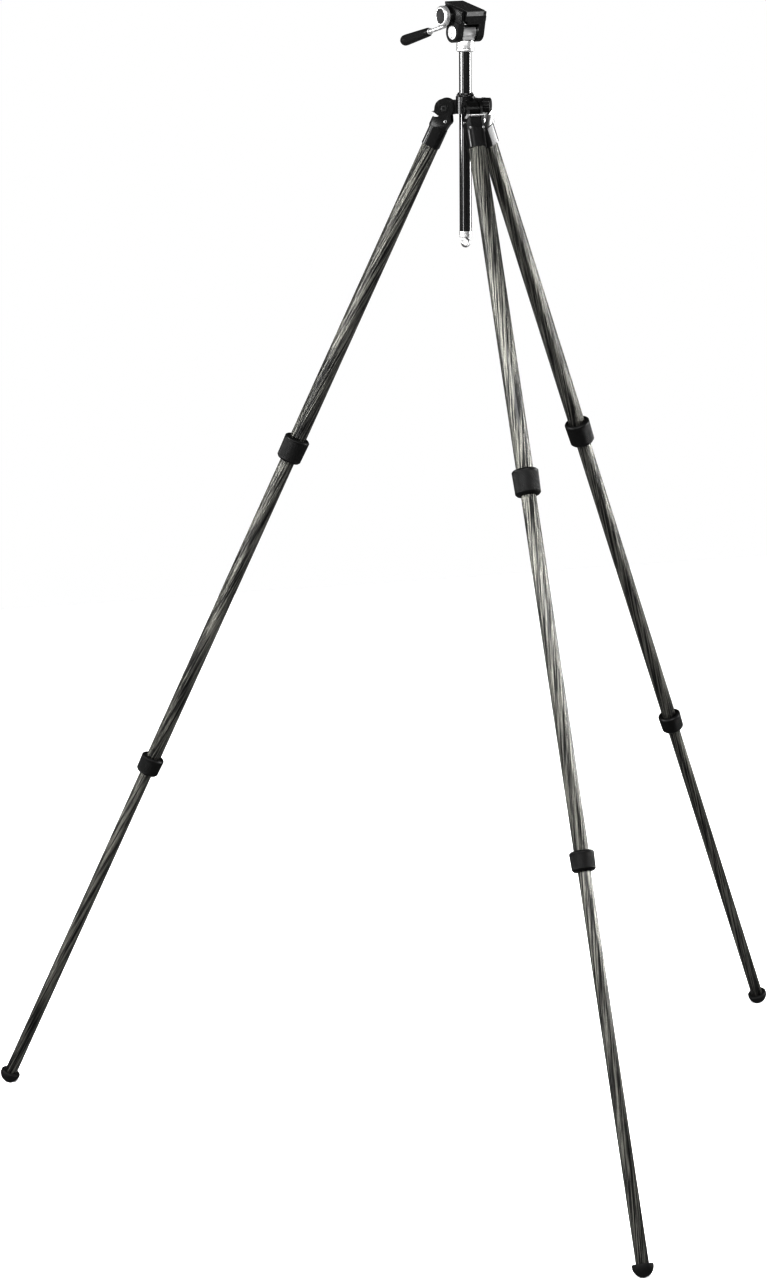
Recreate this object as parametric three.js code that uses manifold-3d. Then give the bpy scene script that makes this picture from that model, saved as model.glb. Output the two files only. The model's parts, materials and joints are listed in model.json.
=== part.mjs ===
// A three-section carbon tripod with twist locks, a sliding centre column and a two-way pan head.
// Millimetres, +Z up. The front leg points to -Y, and the origin is the bottom centre of the whole.

import * as THREE from 'three';
import { mergeVertices } from 'three/addons/utils/BufferGeometryUtils.js';
import Module from 'manifold-3d';

const wasm = await Module();
wasm.setup();

const DEGREE = Math.PI / 180;

// Driving dimensions: the legs. Distances along a leg are measured down from its pivot.
const LEGS = [['front', -90], ['right', 30], ['left', 150]];
const SPREAD = 25 * DEGREE;
const PIVOT_RADIUS = 30;
const AXIS_INSET = 3;
const WALL = 1.2;
const TUBE_RADII = [12.5, 11, 9.5];
const SLEEVE_TOP = 31;
const SLEEVE_END = 60;
const UPPER_LOCK = { at: 569, length: 38, radius: 19.5 };
const LOWER_LOCK = { at: 1125, length: 29, radius: 18 };
const TUBE_OVERLAP = 52;
const FOOT_AT = 1696;
const FOOT_RADIUS = 15.5;
const FOOT_FLAT = 0.5;

// Driving dimensions: the hub and the centre column. Heights are measured from the leg pivots.
const LUG_HALF_WIDTH = 8;
const LUG_RADIUS = 11.5;
const CHEEK_HALF_WIDTH = 12;
const HUB_RADIUS = 14;
const HUB_BOTTOM = -8;
const HUB_TOP = 17;
const COLLAR_TOP = 22.5;
const COLUMN_RADIUS = 9;
const COLUMN_BOTTOM = -185.5;
const COLUMN_TOP = 82.5;
const HOOK_RADIUS = 5.9;
const HOOK_WIRE_RADIUS = 1.4;
const COLUMN_KNOB = { azimuth: -30, z: 4.5, radius: 11, inner: 27, outer: 38.4 };
const COLUMN_KNOB_TURN = (COLUMN_KNOB.azimuth - 90) * DEGREE;

// Driving dimensions: the head. In its own frame +X is the knob's side and +Y is the front.
const PAN = 16.1 * DEGREE;
const TILT = 11.7 * DEGREE;
const HANDLE_DROOP = 25.6 * DEGREE;
const TILT_AXIS_HEIGHT = 111;
const NECK_RADIUS = 12.9;
const BARREL_RADIUS = 10.8;
const BARREL_HALF_LENGTH = 13;
const EAR_INNER = 13.3;
const EAR_OUTER = 24;
const EAR_RADIUS = 14.6;
const BRIDGE_BOTTOM = 15;
const BED_BOTTOM = 22;
const BED_TOP = 29;
const PLATE_BOTTOM = 29.4;
const PLATE_TOP = 38.3;
const PLATE_CENTRE_X = 2;
const PLATE_HALF_WIDTH = 16;
const PLATE_REAR = -34;
const PLATE_FRONT = 23.5;
const KNOB = { y: -15.5, z: 21.2, radius: 15.2, inner: 28.5, outer: 37 };
const SCREW_RADIUS = 3;
const GRIP_START = 70;
const GRIP_END = 139;

// The clearance that touching pieces keep, and how finely round pieces are divided.
const GAP = 0.3;
const ROUND = 20;
const SMALL_ROUND = 16;

const PIVOT_TO_FOOT = AXIS_INSET * Math.sin(SPREAD) + FOOT_AT * Math.cos(SPREAD);
const PIVOT_HEIGHT = PIVOT_TO_FOOT + FOOT_RADIUS - FOOT_FLAT;

const FINISHES = {
  carbon: { color: 0x3a3b3a, roughness: 0.35, metalness: 0 },
  casting: { color: 0x101112, roughness: 0.3, metalness: 0 },
  gloss: { color: 0x0a0a0b, roughness: 0.08, metalness: 0 },
  bright: { color: 0xd8d9da, roughness: 0.28, metalness: 1 },
  polymer: { color: 0x1a1a1b, roughness: 0.6, metalness: 0 },
  rubber: { color: 0x151515, roughness: 0.85, metalness: 0 },
  steel: { color: 0x9a9c9e, roughness: 0.35, metalness: 1 },
};

function put(group, name, geometry, finish) {
  const mesh = new THREE.Mesh(geometry, new THREE.MeshStandardMaterial(FINISHES[finish]));
  mesh.name = name;
  group.add(mesh);
}

// Solids: a closed geometry becomes a manifold solid to be joined or cut, and comes back as a geometry.
function toSolid(geometry) {
  const bare = geometry.clone();
  bare.deleteAttribute('normal');
  bare.deleteAttribute('uv');
  const merged = mergeVertices(bare);
  const index = merged.index.array;
  const kept = [];
  for (let i = 0; i < index.length; i += 3) {
    const [a, b, c] = index.slice(i, i + 3);
    if (a !== b && b !== c && c !== a) kept.push(a, b, c);
  }
  const vertProperties = merged.attributes.position.array;
  return new wasm.Manifold(new wasm.Mesh({ numProp: 3, vertProperties, triVerts: new Uint32Array(kept) }));
}

function toGeometry(solid) {
  const { vertProperties, triVerts } = solid.getMesh();
  const geometry = new THREE.BufferGeometry();
  geometry.setAttribute('position', new THREE.Float32BufferAttribute(vertProperties, 3));
  geometry.setIndex(new THREE.Uint32BufferAttribute(triVerts, 1));
  return geometry;
}

function join(first, ...others) {
  return toGeometry(others.reduce((whole, other) => whole.add(toSolid(other)), toSolid(first)));
}

function cut(whole, ...tools) {
  return toGeometry(tools.reduce((left, tool) => left.subtract(toSolid(tool)), toSolid(whole)));
}

// A turned piece about Z. Its profile of [radius, height] points runs up its outer side and down its bore.
function turned(profile, segments = ROUND) {
  const points = profile.map(([radius, height]) => new THREE.Vector2(radius, height));
  return new THREE.LatheGeometry(points, segments).rotateX(90 * DEGREE);
}

function tube(inner, outer, bottom, top, segments = ROUND) {
  return turned([[inner, bottom], [outer, bottom], [outer, top], [inner, top], [inner, bottom]], segments);
}

function rod(radius, bottom, top, segments = SMALL_ROUND) {
  return turned([[0, bottom], [radius, bottom], [radius, top], [0, top]], segments);
}

function block([x0, x1], [y0, y1], [z0, z1]) {
  const box = new THREE.BoxGeometry(x1 - x0, y1 - y0, z1 - z0);
  return box.translate((x0 + x1) / 2, (y0 + y1) / 2, (z0 + z1) / 2);
}

// A plate whose outline lies in the YZ plane, with its thickness along X from x0 to x1.
function slab(outline, x0, x1, curveSegments = 6) {
  const plate = new THREE.ExtrudeGeometry(outline, { depth: x1 - x0, bevelEnabled: false, curveSegments });
  return plate.translate(0, 0, x0).rotateX(90 * DEGREE).rotateZ(90 * DEGREE);
}

function alongX(geometry) {
  return geometry.rotateY(90 * DEGREE);
}

// A socket for a hexagon key, to be cut from a bolt's head between two heights.
function hexSocket(acrossCorners, bottom, top) {
  return rod(acrossCorners / 2, bottom, top, 6);
}

// The leg bracket, in the leg's frame: the pivot is the origin, +Y is outward and -Z runs down the leg.
function legBracket() {
  const lobe = { y: -10.3, z: -16.5, radius: 7.5 };
  const side = new THREE.Shape();
  side.absarc(0, 0, 14.2, -20 * DEGREE, 205 * DEGREE);
  side.absarc(lobe.y, lobe.z, lobe.radius, 150 * DEGREE, 215 * DEGREE);
  side.lineTo(-14.5, -33);
  side.lineTo(9, -33);
  side.lineTo(10.6, -29);
  side.lineTo(10.6, -13);
  const body = slab(side, -CHEEK_HALF_WIDTH, CHEEK_HALF_WIDTH);
  const sleeve = rod(TUBE_RADII[0] + 1.5, -SLEEVE_END, -SLEEVE_TOP, ROUND).translate(0, -AXIS_INSET, 0);
  const bore = rod(TUBE_RADII[0] + GAP, -SLEEVE_END - 1, -SLEEVE_TOP - 3, ROUND).translate(0, -AXIS_INSET, 0);
  const slotX = [-LUG_HALF_WIDTH - GAP, LUG_HALF_WIDTH + GAP];
  const slot = block(slotX, [-30, 30], [-15, 30]);
  const sliderSlot = block(slotX, [4.6, 30], [-29.8, -14]);
  const boltHole = alongX(rod(3.9, -20, 20));
  return cut(join(body, sleeve), bore, slot, sliderSlot, boltHole);
}

function pivotBolt() {
  const shank = 3.5;
  const head = 4.6;
  const inner = CHEEK_HALF_WIDTH + GAP;
  const outer = inner + 2;
  const bolt = turned([
    [0, -outer], [head - 0.6, -outer], [head, -outer + 0.6], [head, -inner], [shank, -inner],
    [shank, inner], [head, inner], [head, outer - 0.6], [head - 0.6, outer], [0, outer],
  ], 12);
  return alongX(cut(bolt, hexSocket(4.6, outer - 1.4, outer + 1), hexSocket(4.6, -outer - 1, -outer + 1.4)));
}

// The angle tab: a slider between the bracket's cheeks, with a nose towards the hub's lug. The bar that the
// finger pulls crosses in front of the cheeks, and an arm runs back along each of them.
function angleTab() {
  const halfWidth = 13.6;
  const top = -12.6;
  const bottom = -14.8;
  const tongue = LUG_HALF_WIDTH - 0.1;
  const slider = block([-tongue, tongue], [5, 8], [-29.4, top]);
  const nose = block([-tongue, tongue], [5, 11.4], [bottom, top]);
  const bar = block([-halfWidth, halfWidth], [11, 15.6], [bottom, top]);
  const arms = [-1, 1].map((side) => {
    const reach = [side * halfWidth, side * (CHEEK_HALF_WIDTH + 0.4)].sort((a, b) => a - b);
    return block(reach, [2.6, 12.5], [bottom - 0.8, top + 0.4]);
  });
  return join(slider, nose, bar, ...arms);
}

// One twist lock. The bush is glued on the outer tube's end, the split collet grips the inner tube, and the
// ring turns over both.
function twistLock(leg, side, level, { at, length, radius }, outerRadius, innerRadius) {
  const top = length / 2;
  const tubeEnd = -5;
  const bush = { inner: outerRadius + 0.4, outer: outerRadius + 2.4 };
  const collet = { inner: innerRadius + GAP, outer: innerRadius + 2.4 };
  const bore = bush.outer + 0.6;
  const seat = collet.outer + 0.6;
  const chamfer = 2.4;
  const ring = turned([
    [collet.inner + 0.3, -top], [radius - 3, -top], [radius - 0.8, -top + 3.5], [radius, top - chamfer - 1],
    [radius, top - chamfer], [radius - chamfer, top], [bore, top], [bore, tubeEnd], [seat, tubeEnd],
    [seat, -top + 2], [collet.inner + 0.3, -top + 2], [collet.inner + 0.3, -top],
  ]);
  const slit = block([0, 30], [-0.8, 0.8], [-30, 30]);
  const station = new THREE.Group();
  station.position.set(0, -AXIS_INSET, -at);
  leg.add(station);
  const sleeve = tube(bush.inner, bush.outer, tubeEnd + 1, top - 1.5, SMALL_ROUND);
  put(station, `${side}_${level}_lock_bush`, sleeve, 'casting');
  const split = cut(tube(collet.inner, collet.outer, -top + 2.4, tubeEnd - 0.6, SMALL_ROUND), slit);
  put(station, `${side}_${level}_lock_collet`, split, 'polymer');
  put(station, `${side}_${level}_lock_ring`, ring, 'polymer');
}

// The foot: a rubber ball with a lip, flattened where it stands on the floor.
function foot() {
  const socket = TUBE_RADII[2] + GAP;
  const profile = [];
  const steps = 5;
  for (let i = 0; i <= steps; i += 1) {
    const angle = (i / steps) * 90 * DEGREE;
    profile.push([FOOT_RADIUS * Math.sin(angle), -FOOT_RADIUS * Math.cos(angle)]);
  }
  profile.push([FOOT_RADIUS, 2], [FOOT_RADIUS - 1, 3.2], [socket, 3.2], [socket, -6], [0, -6]);
  const floor = block([-20, 20], [-20, 20], [-40, -FOOT_RADIUS + FOOT_FLAT]).rotateX(-SPREAD);
  return cut(turned(profile), floor);
}

function leg(side, azimuth) {
  const arm = new THREE.Group();
  arm.rotation.z = (azimuth - 90) * DEGREE;
  const frame = new THREE.Group();
  frame.position.set(0, PIVOT_RADIUS, PIVOT_HEIGHT);
  frame.rotation.x = SPREAD;
  arm.add(frame);
  put(frame, `${side}_leg_bracket`, legBracket(), 'casting');
  put(frame, `${side}_pivot_bolt`, pivotBolt(), 'steel');
  put(frame, `${side}_angle_tab`, angleTab(), 'bright');

  const [upper, middle, lower] = TUBE_RADII;
  const axis = new THREE.Group();
  axis.position.y = -AXIS_INSET;
  frame.add(axis);
  const upperEnd = -UPPER_LOCK.at - 4.6;
  const middleEnd = -LOWER_LOCK.at - 4.6;
  const middleTop = -UPPER_LOCK.at - UPPER_LOCK.length / 2 + TUBE_OVERLAP;
  const lowerTop = -LOWER_LOCK.at - LOWER_LOCK.length / 2 + TUBE_OVERLAP;
  put(axis, `${side}_upper_tube`, tube(upper - WALL, upper, upperEnd, -SLEEVE_TOP - 3.4), 'carbon');
  put(axis, `${side}_middle_tube`, tube(middle - WALL, middle, middleEnd, middleTop), 'carbon');
  put(axis, `${side}_lower_tube`, tube(lower - WALL, lower, -FOOT_AT - 5.7, lowerTop), 'carbon');
  twistLock(frame, side, 'upper', UPPER_LOCK, upper, middle);
  twistLock(frame, side, 'lower', LOWER_LOCK, middle, lower);

  const ankle = new THREE.Group();
  ankle.position.set(0, -AXIS_INSET, -FOOT_AT);
  frame.add(ankle);
  put(ankle, `${side}_foot`, foot(), 'rubber');
  return arm;
}

// Turns a piece made along Z to lie along the column knob's axis, which runs outward between two legs.
function alongColumnKnob(geometry) {
  return geometry.rotateX(-90 * DEGREE).translate(0, 0, COLUMN_KNOB.z).rotateZ(COLUMN_KNOB_TURN);
}

// The hub: a sleeve for the column with three lugs, and a boss for the knob that clamps the column. Each
// lug's rim has two notches for wider leg angles.
function hub() {
  const bore = COLUMN_RADIUS + 1.7;
  const lugOutline = new THREE.Shape();
  lugOutline.moveTo(bore + 1, HUB_BOTTOM);
  lugOutline.lineTo(PIVOT_RADIUS - 8, HUB_BOTTOM - 0.2);
  lugOutline.absarc(PIVOT_RADIUS, 0, LUG_RADIUS, -135 * DEGREE, 90 * DEGREE);
  lugOutline.lineTo(bore + 1, LUG_RADIUS);
  const boss = block([-6, 6], [12, COLUMN_KNOB.inner - 0.6], [-4, 14.5]).rotateZ(COLUMN_KNOB_TURN);
  let whole = join(rod(HUB_RADIUS, HUB_BOTTOM, HUB_TOP, ROUND), boss);
  const knobScrewHole = alongColumnKnob(rod(SCREW_RADIUS + 0.4, 5, 40));
  const tools = [rod(bore, HUB_BOTTOM - 1, HUB_TOP + 1, ROUND), knobScrewHole];
  for (const [, azimuth] of LEGS) {
    const turn = (azimuth - 90) * DEGREE;
    whole = join(whole, slab(lugOutline, -LUG_HALF_WIDTH, LUG_HALF_WIDTH).rotateZ(turn));
    tools.push(alongX(rod(4.1, -20, 20)).translate(0, PIVOT_RADIUS, 0).rotateZ(turn));
    for (const notch of [-2, 30]) {
      const tooth = block([-20, 20], [LUG_RADIUS - 1.6, LUG_RADIUS + 2], [-1, 1]).rotateX(notch * DEGREE);
      tools.push(tooth.translate(0, PIVOT_RADIUS, 0).rotateZ(turn));
    }
  }
  return cut(whole, ...tools);
}

function columnKnob() {
  const { radius, inner, outer } = COLUMN_KNOB;
  const screwEnd = COLUMN_RADIUS + 1.8;
  return alongColumnKnob(turned([
    [0, screwEnd], [SCREW_RADIUS, screwEnd], [SCREW_RADIUS, inner], [radius - 1, inner], [radius, inner + 1],
    [radius, outer - 1.5], [radius - 1.5, outer], [0, outer],
  ]));
}

// The weight hook: a wire that drops from the plug and runs round to leave a gap at its upper side.
function hook(shankTop, centre) {
  const path = new THREE.CurvePath();
  const top = new THREE.Vector3(0, 0, shankTop);
  const crown = new THREE.Vector3(0, 0, centre + HOOK_RADIUS + 1.6);
  path.add(new THREE.LineCurve3(top, crown));
  const middle = new THREE.Vector3(0, 0, centre);
  const spoke = new THREE.Vector3(HOOK_RADIUS, 0, 0);
  const yAxis = new THREE.Vector3(0, 1, 0);
  const rim = (angle) => spoke.clone().applyAxisAngle(yAxis, -angle).add(middle);
  const shoulder = rim(45 * DEGREE);
  const bend = new THREE.Vector3(0, 0, centre + HOOK_RADIUS * Math.SQRT2);
  path.add(new THREE.QuadraticBezierCurve3(crown, bend, shoulder));
  const steps = 9;
  let last = shoulder;
  for (let i = 1; i <= steps; i += 1) {
    const next = rim((45 - (i / steps) * 250) * DEGREE);
    path.add(new THREE.LineCurve3(last, next));
    last = next;
  }
  const section = new THREE.Shape().absarc(0, 0, HOOK_WIRE_RADIUS, 0, 360 * DEGREE);
  return new THREE.ExtrudeGeometry(section, { steps: 26, extrudePath: path, curveSegments: 4 });
}

function centre() {
  const group = new THREE.Group();
  group.position.z = PIVOT_HEIGHT;
  put(group, 'hub', hub(), 'casting');
  const bush = tube(COLUMN_RADIUS + GAP, COLUMN_RADIUS + 1.3, HUB_BOTTOM + 0.5, HUB_TOP - 0.5);
  put(group, 'column_bush', bush, 'polymer');
  put(group, 'column_knob', columnKnob(), 'polymer');
  const collarBore = COLUMN_RADIUS + 0.5;
  const collar = turned([
    [collarBore, HUB_TOP + GAP], [HUB_RADIUS - 1, HUB_TOP + GAP], [HUB_RADIUS - 1.8, HUB_TOP + 2.2],
    [11.2, HUB_TOP + 3], [11.2, COLLAR_TOP], [collarBore, COLLAR_TOP], [collarBore, HUB_TOP + GAP],
  ]);
  put(group, 'column_collar', collar, 'casting');

  const bore = COLUMN_RADIUS - 1.5;
  put(group, 'column', tube(bore, COLUMN_RADIUS, COLUMN_BOTTOM, COLUMN_TOP), 'gloss');
  const plugTop = COLUMN_BOTTOM - GAP;
  const plugBottom = plugTop - 4.9;
  const plug = turned([
    [2, plugBottom], [COLUMN_RADIUS - 0.4, plugBottom], [COLUMN_RADIUS + 0.4, plugBottom + 0.8],
    [COLUMN_RADIUS + 0.4, plugTop], [bore - GAP, plugTop], [bore - GAP, plugTop + 10], [2, plugTop + 10],
    [2, plugBottom],
  ]);
  put(group, 'hook_plug', plug, 'bright');
  put(group, 'weight_hook', hook(plugTop + 8, plugBottom - HOOK_RADIUS - HOOK_WIRE_RADIUS - 1), 'bright');

  const base = turned([
    [SCREW_RADIUS + 0.4, COLUMN_TOP - 3.4], [bore - GAP, COLUMN_TOP - 3.4], [bore - GAP, COLUMN_TOP + GAP],
    [11.6, COLUMN_TOP + GAP], [13.2, COLUMN_TOP + 2], [13.2, COLUMN_TOP + 4.6],
    [SCREW_RADIUS + 0.4, COLUMN_TOP + 4.6], [SCREW_RADIUS + 0.4, COLUMN_TOP - 3.4],
  ]);
  put(group, 'head_base', base, 'bright');
  const screw = turned([
    [0, COLUMN_TOP - 8], [5.5, COLUMN_TOP - 8], [5.5, COLUMN_TOP - 3.7], [SCREW_RADIUS, COLUMN_TOP - 3.7],
    [SCREW_RADIUS, COLUMN_TOP + 15], [0, COLUMN_TOP + 15],
  ], SMALL_ROUND);
  put(group, 'pan_screw', cut(screw, hexSocket(5.6, COLUMN_TOP - 9, COLUMN_TOP - 5.5)), 'steel');
  return group;
}

// The pan body: a neck that turns on the head base, with the tilt barrel across its top.
function panBody() {
  const bottom = COLUMN_TOP + 4.9 - TILT_AXIS_HEIGHT;
  const neck = rod(NECK_RADIUS, bottom, -12, ROUND);
  const saddle = block([-11, 11], [-8.5, 8.5], [-13, -5]);
  const barrel = alongX(rod(BARREL_RADIUS, -BARREL_HALF_LENGTH, BARREL_HALF_LENGTH, ROUND));
  const axleBore = alongX(rod(4.4, -20, 20));
  const screwHole = rod(SCREW_RADIUS + 0.4, bottom - 1, COLUMN_TOP + 15.4 - TILT_AXIS_HEIGHT);
  return cut(join(neck, saddle, barrel), axleBore, screwHole);
}

// The tilt fork: two ears on the barrel, the bridge above it, the clamp's bed with one fixed rail, and the
// boss that the handle screws into. The origin is the tilt axis.
function tiltFork() {
  const jawSide = 18.2;
  const jawFoot = 17.2;
  const ear = new THREE.Shape();
  ear.absarc(0, 0, EAR_RADIUS, 180 * DEGREE, 360 * DEGREE);
  ear.lineTo(EAR_RADIUS, BED_BOTTOM + 1);
  ear.lineTo(-EAR_RADIUS, BED_BOTTOM + 1);
  const ears = [slab(ear, EAR_INNER, EAR_OUTER, 8), slab(ear, -EAR_OUTER, -EAR_INNER, 8)];
  const bridge = block([-EAR_OUTER, EAR_OUTER], [-20, EAR_RADIUS], [BRIDGE_BOTTOM, BED_BOTTOM + 1]);
  const bed = block([-19, EAR_OUTER], [-24, 22], [BED_BOTTOM, BED_TOP]);
  const railOutline = new THREE.Shape();
  const railTop = PLATE_TOP - 2.8;
  railOutline.moveTo(-19, BED_TOP - 1);
  railOutline.lineTo(-14.6, BED_TOP - 1);
  railOutline.lineTo(-14.6, BED_TOP + 3.4);
  railOutline.lineTo(-13.4, BED_TOP + 4.6);
  railOutline.lineTo(-14.6, BED_TOP + 5.8);
  railOutline.lineTo(-14.6, railTop);
  railOutline.lineTo(-19, railTop);
  const rail = new THREE.ExtrudeGeometry(railOutline, { depth: 44, bevelEnabled: false });
  rail.rotateX(90 * DEGREE).translate(0, 21, 0);
  const boss = rod(6, -14, 4, SMALL_ROUND).rotateX(90 * DEGREE + HANDLE_DROOP).translate(0, -27.1, 7.5);
  const rodHole = rod(3.3, -13, 6).rotateX(90 * DEGREE + HANDLE_DROOP).translate(0, -27.1, 7.5);
  const jawRoom = block([jawSide, 40], [-40, 40], [jawFoot, 60]);
  const axleHole = alongX(rod(4.4, -40, 40));
  const capRecess = alongX(rod(10.8, EAR_OUTER - 2.6, 40, ROUND));
  const headRecess = alongX(rod(7.5, -40, -EAR_OUTER + 3.2));
  const screwHole = alongX(rod(SCREW_RADIUS + 0.4, -6, 40)).translate(0, KNOB.y, KNOB.z);
  const barrelRoom = alongX(rod(BARREL_RADIUS + 1.2, -EAR_INNER, EAR_INNER, ROUND));
  const gapAboveBarrel = block([8.4, EAR_INNER], [-40, 40], [BRIDGE_BOTTOM - 4, 19.6]);
  const holes = [rodHole, axleHole, capRecess, headRecess, screwHole, gapAboveBarrel];
  return cut(join(...ears, bridge, bed, rail, boss), jawRoom, barrelRoom, ...holes);
}

// The moving jaw: the wall on the knob's side, with a lip that enters the plate's side groove.
function clampJaw() {
  const outline = new THREE.Shape();
  outline.moveTo(18.6, 17.6);
  outline.lineTo(EAR_OUTER, 17.6);
  outline.lineTo(EAR_OUTER, PLATE_TOP - 1.6);
  outline.lineTo(18.6, PLATE_TOP - 1.6);
  outline.lineTo(18.6, BED_TOP + 5.8);
  outline.lineTo(17.4, BED_TOP + 4.6);
  outline.lineTo(18.6, BED_TOP + 3.4);
  const jaw = new THREE.ExtrudeGeometry(outline, { depth: 43, bevelEnabled: false });
  jaw.rotateX(90 * DEGREE).translate(0, 20, 0);
  return cut(jaw, alongX(rod(SCREW_RADIUS + 0.4, 0, 40)).translate(0, KNOB.y, KNOB.z));
}

// The release plate: a flat block with a V groove along each side, a seat for its pad and a screw hole.
function releasePlate() {
  const groove = { middle: BED_TOP + 4.6, depth: 1.6, reach: 1.7 };
  const right = PLATE_CENTRE_X + PLATE_HALF_WIDTH;
  const left = PLATE_CENTRE_X - PLATE_HALF_WIDTH;
  const section = new THREE.Shape();
  section.moveTo(left, PLATE_BOTTOM);
  section.lineTo(right, PLATE_BOTTOM);
  section.lineTo(right, groove.middle - groove.reach);
  section.lineTo(right - groove.depth, groove.middle);
  section.lineTo(right, groove.middle + groove.reach);
  section.lineTo(right, PLATE_TOP);
  section.lineTo(left, PLATE_TOP);
  section.lineTo(left, groove.middle + groove.reach);
  section.lineTo(left + groove.depth, groove.middle);
  section.lineTo(left, groove.middle - groove.reach);
  const plate = new THREE.ExtrudeGeometry(section, { depth: PLATE_FRONT - PLATE_REAR, bevelEnabled: false });
  plate.rotateX(90 * DEGREE).translate(0, PLATE_FRONT, 0);
  const seatY = [PLATE_REAR + 2, PLATE_FRONT - 2];
  const seat = block([left + 2, right - 2], seatY, [PLATE_TOP - 1, PLATE_TOP + 1]);
  const hole = rod(3.6, 0, 60).translate(PLATE_CENTRE_X, -5, 0);
  const headRoom = rod(7, 0, PLATE_BOTTOM + 5.5).translate(PLATE_CENTRE_X, -5, 0);
  return cut(plate, seat, hole, headRoom);
}

function head() {
  const turn = new THREE.Group();
  turn.position.z = PIVOT_HEIGHT + TILT_AXIS_HEIGHT;
  turn.rotation.z = -180 * DEGREE + PAN;
  put(turn, 'pan_body', panBody(), 'bright');

  const tilt = new THREE.Group();
  tilt.rotation.x = -TILT;
  turn.add(tilt);
  put(tilt, 'tilt_fork', tiltFork(), 'casting');

  const axle = turned([
    [0, -23.8], [7, -23.8], [7, -21.1], [4, -21.1], [4, 21], [0, 21],
  ], SMALL_ROUND);
  put(tilt, 'tilt_axle', alongX(cut(axle, hexSocket(6, -25, -22))), 'steel');
  const capSlot = block([-20, 20], [-0.9, 0.9], [EAR_OUTER - 0.9, EAR_OUTER + 1]);
  const cap = cut(turned([
    [0, EAR_OUTER - 2.2], [10.4, EAR_OUTER - 2.2], [10.4, EAR_OUTER - 0.5], [9.9, EAR_OUTER], [0, EAR_OUTER],
  ]), capSlot);
  put(tilt, 'tilt_cap', alongX(cap), 'bright');

  put(tilt, 'clamp_jaw', clampJaw(), 'casting');
  const knobAxis = new THREE.Group();
  knobAxis.position.set(0, KNOB.y, KNOB.z);
  knobAxis.rotation.y = 90 * DEGREE;
  tilt.add(knobAxis);
  const { radius, inner, outer } = KNOB;
  put(knobAxis, 'clamp_screw', rod(SCREW_RADIUS, -5, inner + 1), 'steel');
  const neck = EAR_OUTER + GAP;
  const knob = turned([
    [SCREW_RADIUS + GAP, neck], [8, neck], [8, inner], [radius - 0.8, inner], [radius, inner + 0.8],
    [radius, outer - 2.2], [radius - 2.2, outer], [0, outer], [0, inner + 1 + GAP],
    [SCREW_RADIUS + GAP, inner + 1 + GAP], [SCREW_RADIUS + GAP, neck],
  ]);
  put(knobAxis, 'clamp_knob', knob, 'bright');

  put(tilt, 'release_plate', releasePlate(), 'casting');
  const padX = [PLATE_CENTRE_X - PLATE_HALF_WIDTH + 2.3, PLATE_CENTRE_X + PLATE_HALF_WIDTH - 2.3];
  const pad = block(padX, [PLATE_REAR + 2.3, PLATE_FRONT - 2.3], [PLATE_TOP - 0.7, PLATE_TOP + 0.3]);
  put(tilt, 'plate_pad', cut(pad, rod(4.4, 0, 60).translate(PLATE_CENTRE_X, -5, 0)), 'rubber');
  const screwBottom = PLATE_BOTTOM + 0.3;
  const cameraScrew = turned([
    [0, screwBottom], [6.4, screwBottom], [6.4, screwBottom + 1.5], [3.1, screwBottom + 1.5],
    [3.1, PLATE_TOP - 0.4], [0, PLATE_TOP - 0.4],
  ], SMALL_ROUND).translate(PLATE_CENTRE_X, -5, 0);
  put(tilt, 'camera_screw', cameraScrew, 'steel');

  const handle = new THREE.Group();
  handle.position.set(0, -27.1, 7.5);
  handle.rotation.x = 90 * DEGREE + HANDLE_DROOP;
  tilt.add(handle);
  const handleRod = turned([
    [0, -12.6], [2.9, -12.6], [2.9, GRIP_START - 3.6], [4.8, GRIP_START - 3.6], [4.8, GRIP_START - 0.4],
    [2.9, GRIP_START - 0.4], [2.9, GRIP_START + 50], [0, GRIP_START + 50],
  ], SMALL_ROUND);
  put(handle, 'handle_rod', handleRod, 'bright');
  const socketEnd = GRIP_START + 50.3;
  const grip = turned([
    [3.2, GRIP_START], [5.6, GRIP_START], [6.5, GRIP_START + 1.2], [8.2, GRIP_END - 6], [7.9, GRIP_END - 1],
    [5.6, GRIP_END + 2], [0, GRIP_END + 3], [0, socketEnd], [3.2, socketEnd], [3.2, GRIP_START],
  ], SMALL_ROUND);
  put(handle, 'handle_grip', grip, 'polymer');
  return turn;
}

const tripod = new THREE.Group();
for (const [side, azimuth] of LEGS) tripod.add(leg(side, azimuth));
tripod.add(centre(), head());

// The origin moves to the middle of the bottom of the whole.
const bounds = new THREE.Box3().setFromObject(tripod, true);
tripod.position.x = -(bounds.min.x + bounds.max.x) / 2;
tripod.position.y = -(bounds.min.y + bounds.max.y) / 2;
tripod.position.z = -bounds.min.z;

export default tripod;
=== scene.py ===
"""A carbon tripod with a two-way pan head: the visible pieces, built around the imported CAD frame.

Every piece is made in millimetres in a local frame taken from the record's joints: a leg's frame has its
origin at the leg's pivot, +Y outward and -Z down the leg; the column's frame has its origin on the column's
axis at the height of the pivots; the head's frame has its origin on the tilt axis, +X towards the knob and
+Y to the front.
"""

import json
import math

import bmesh
import bpy
from mathutils import Matrix, Vector


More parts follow.
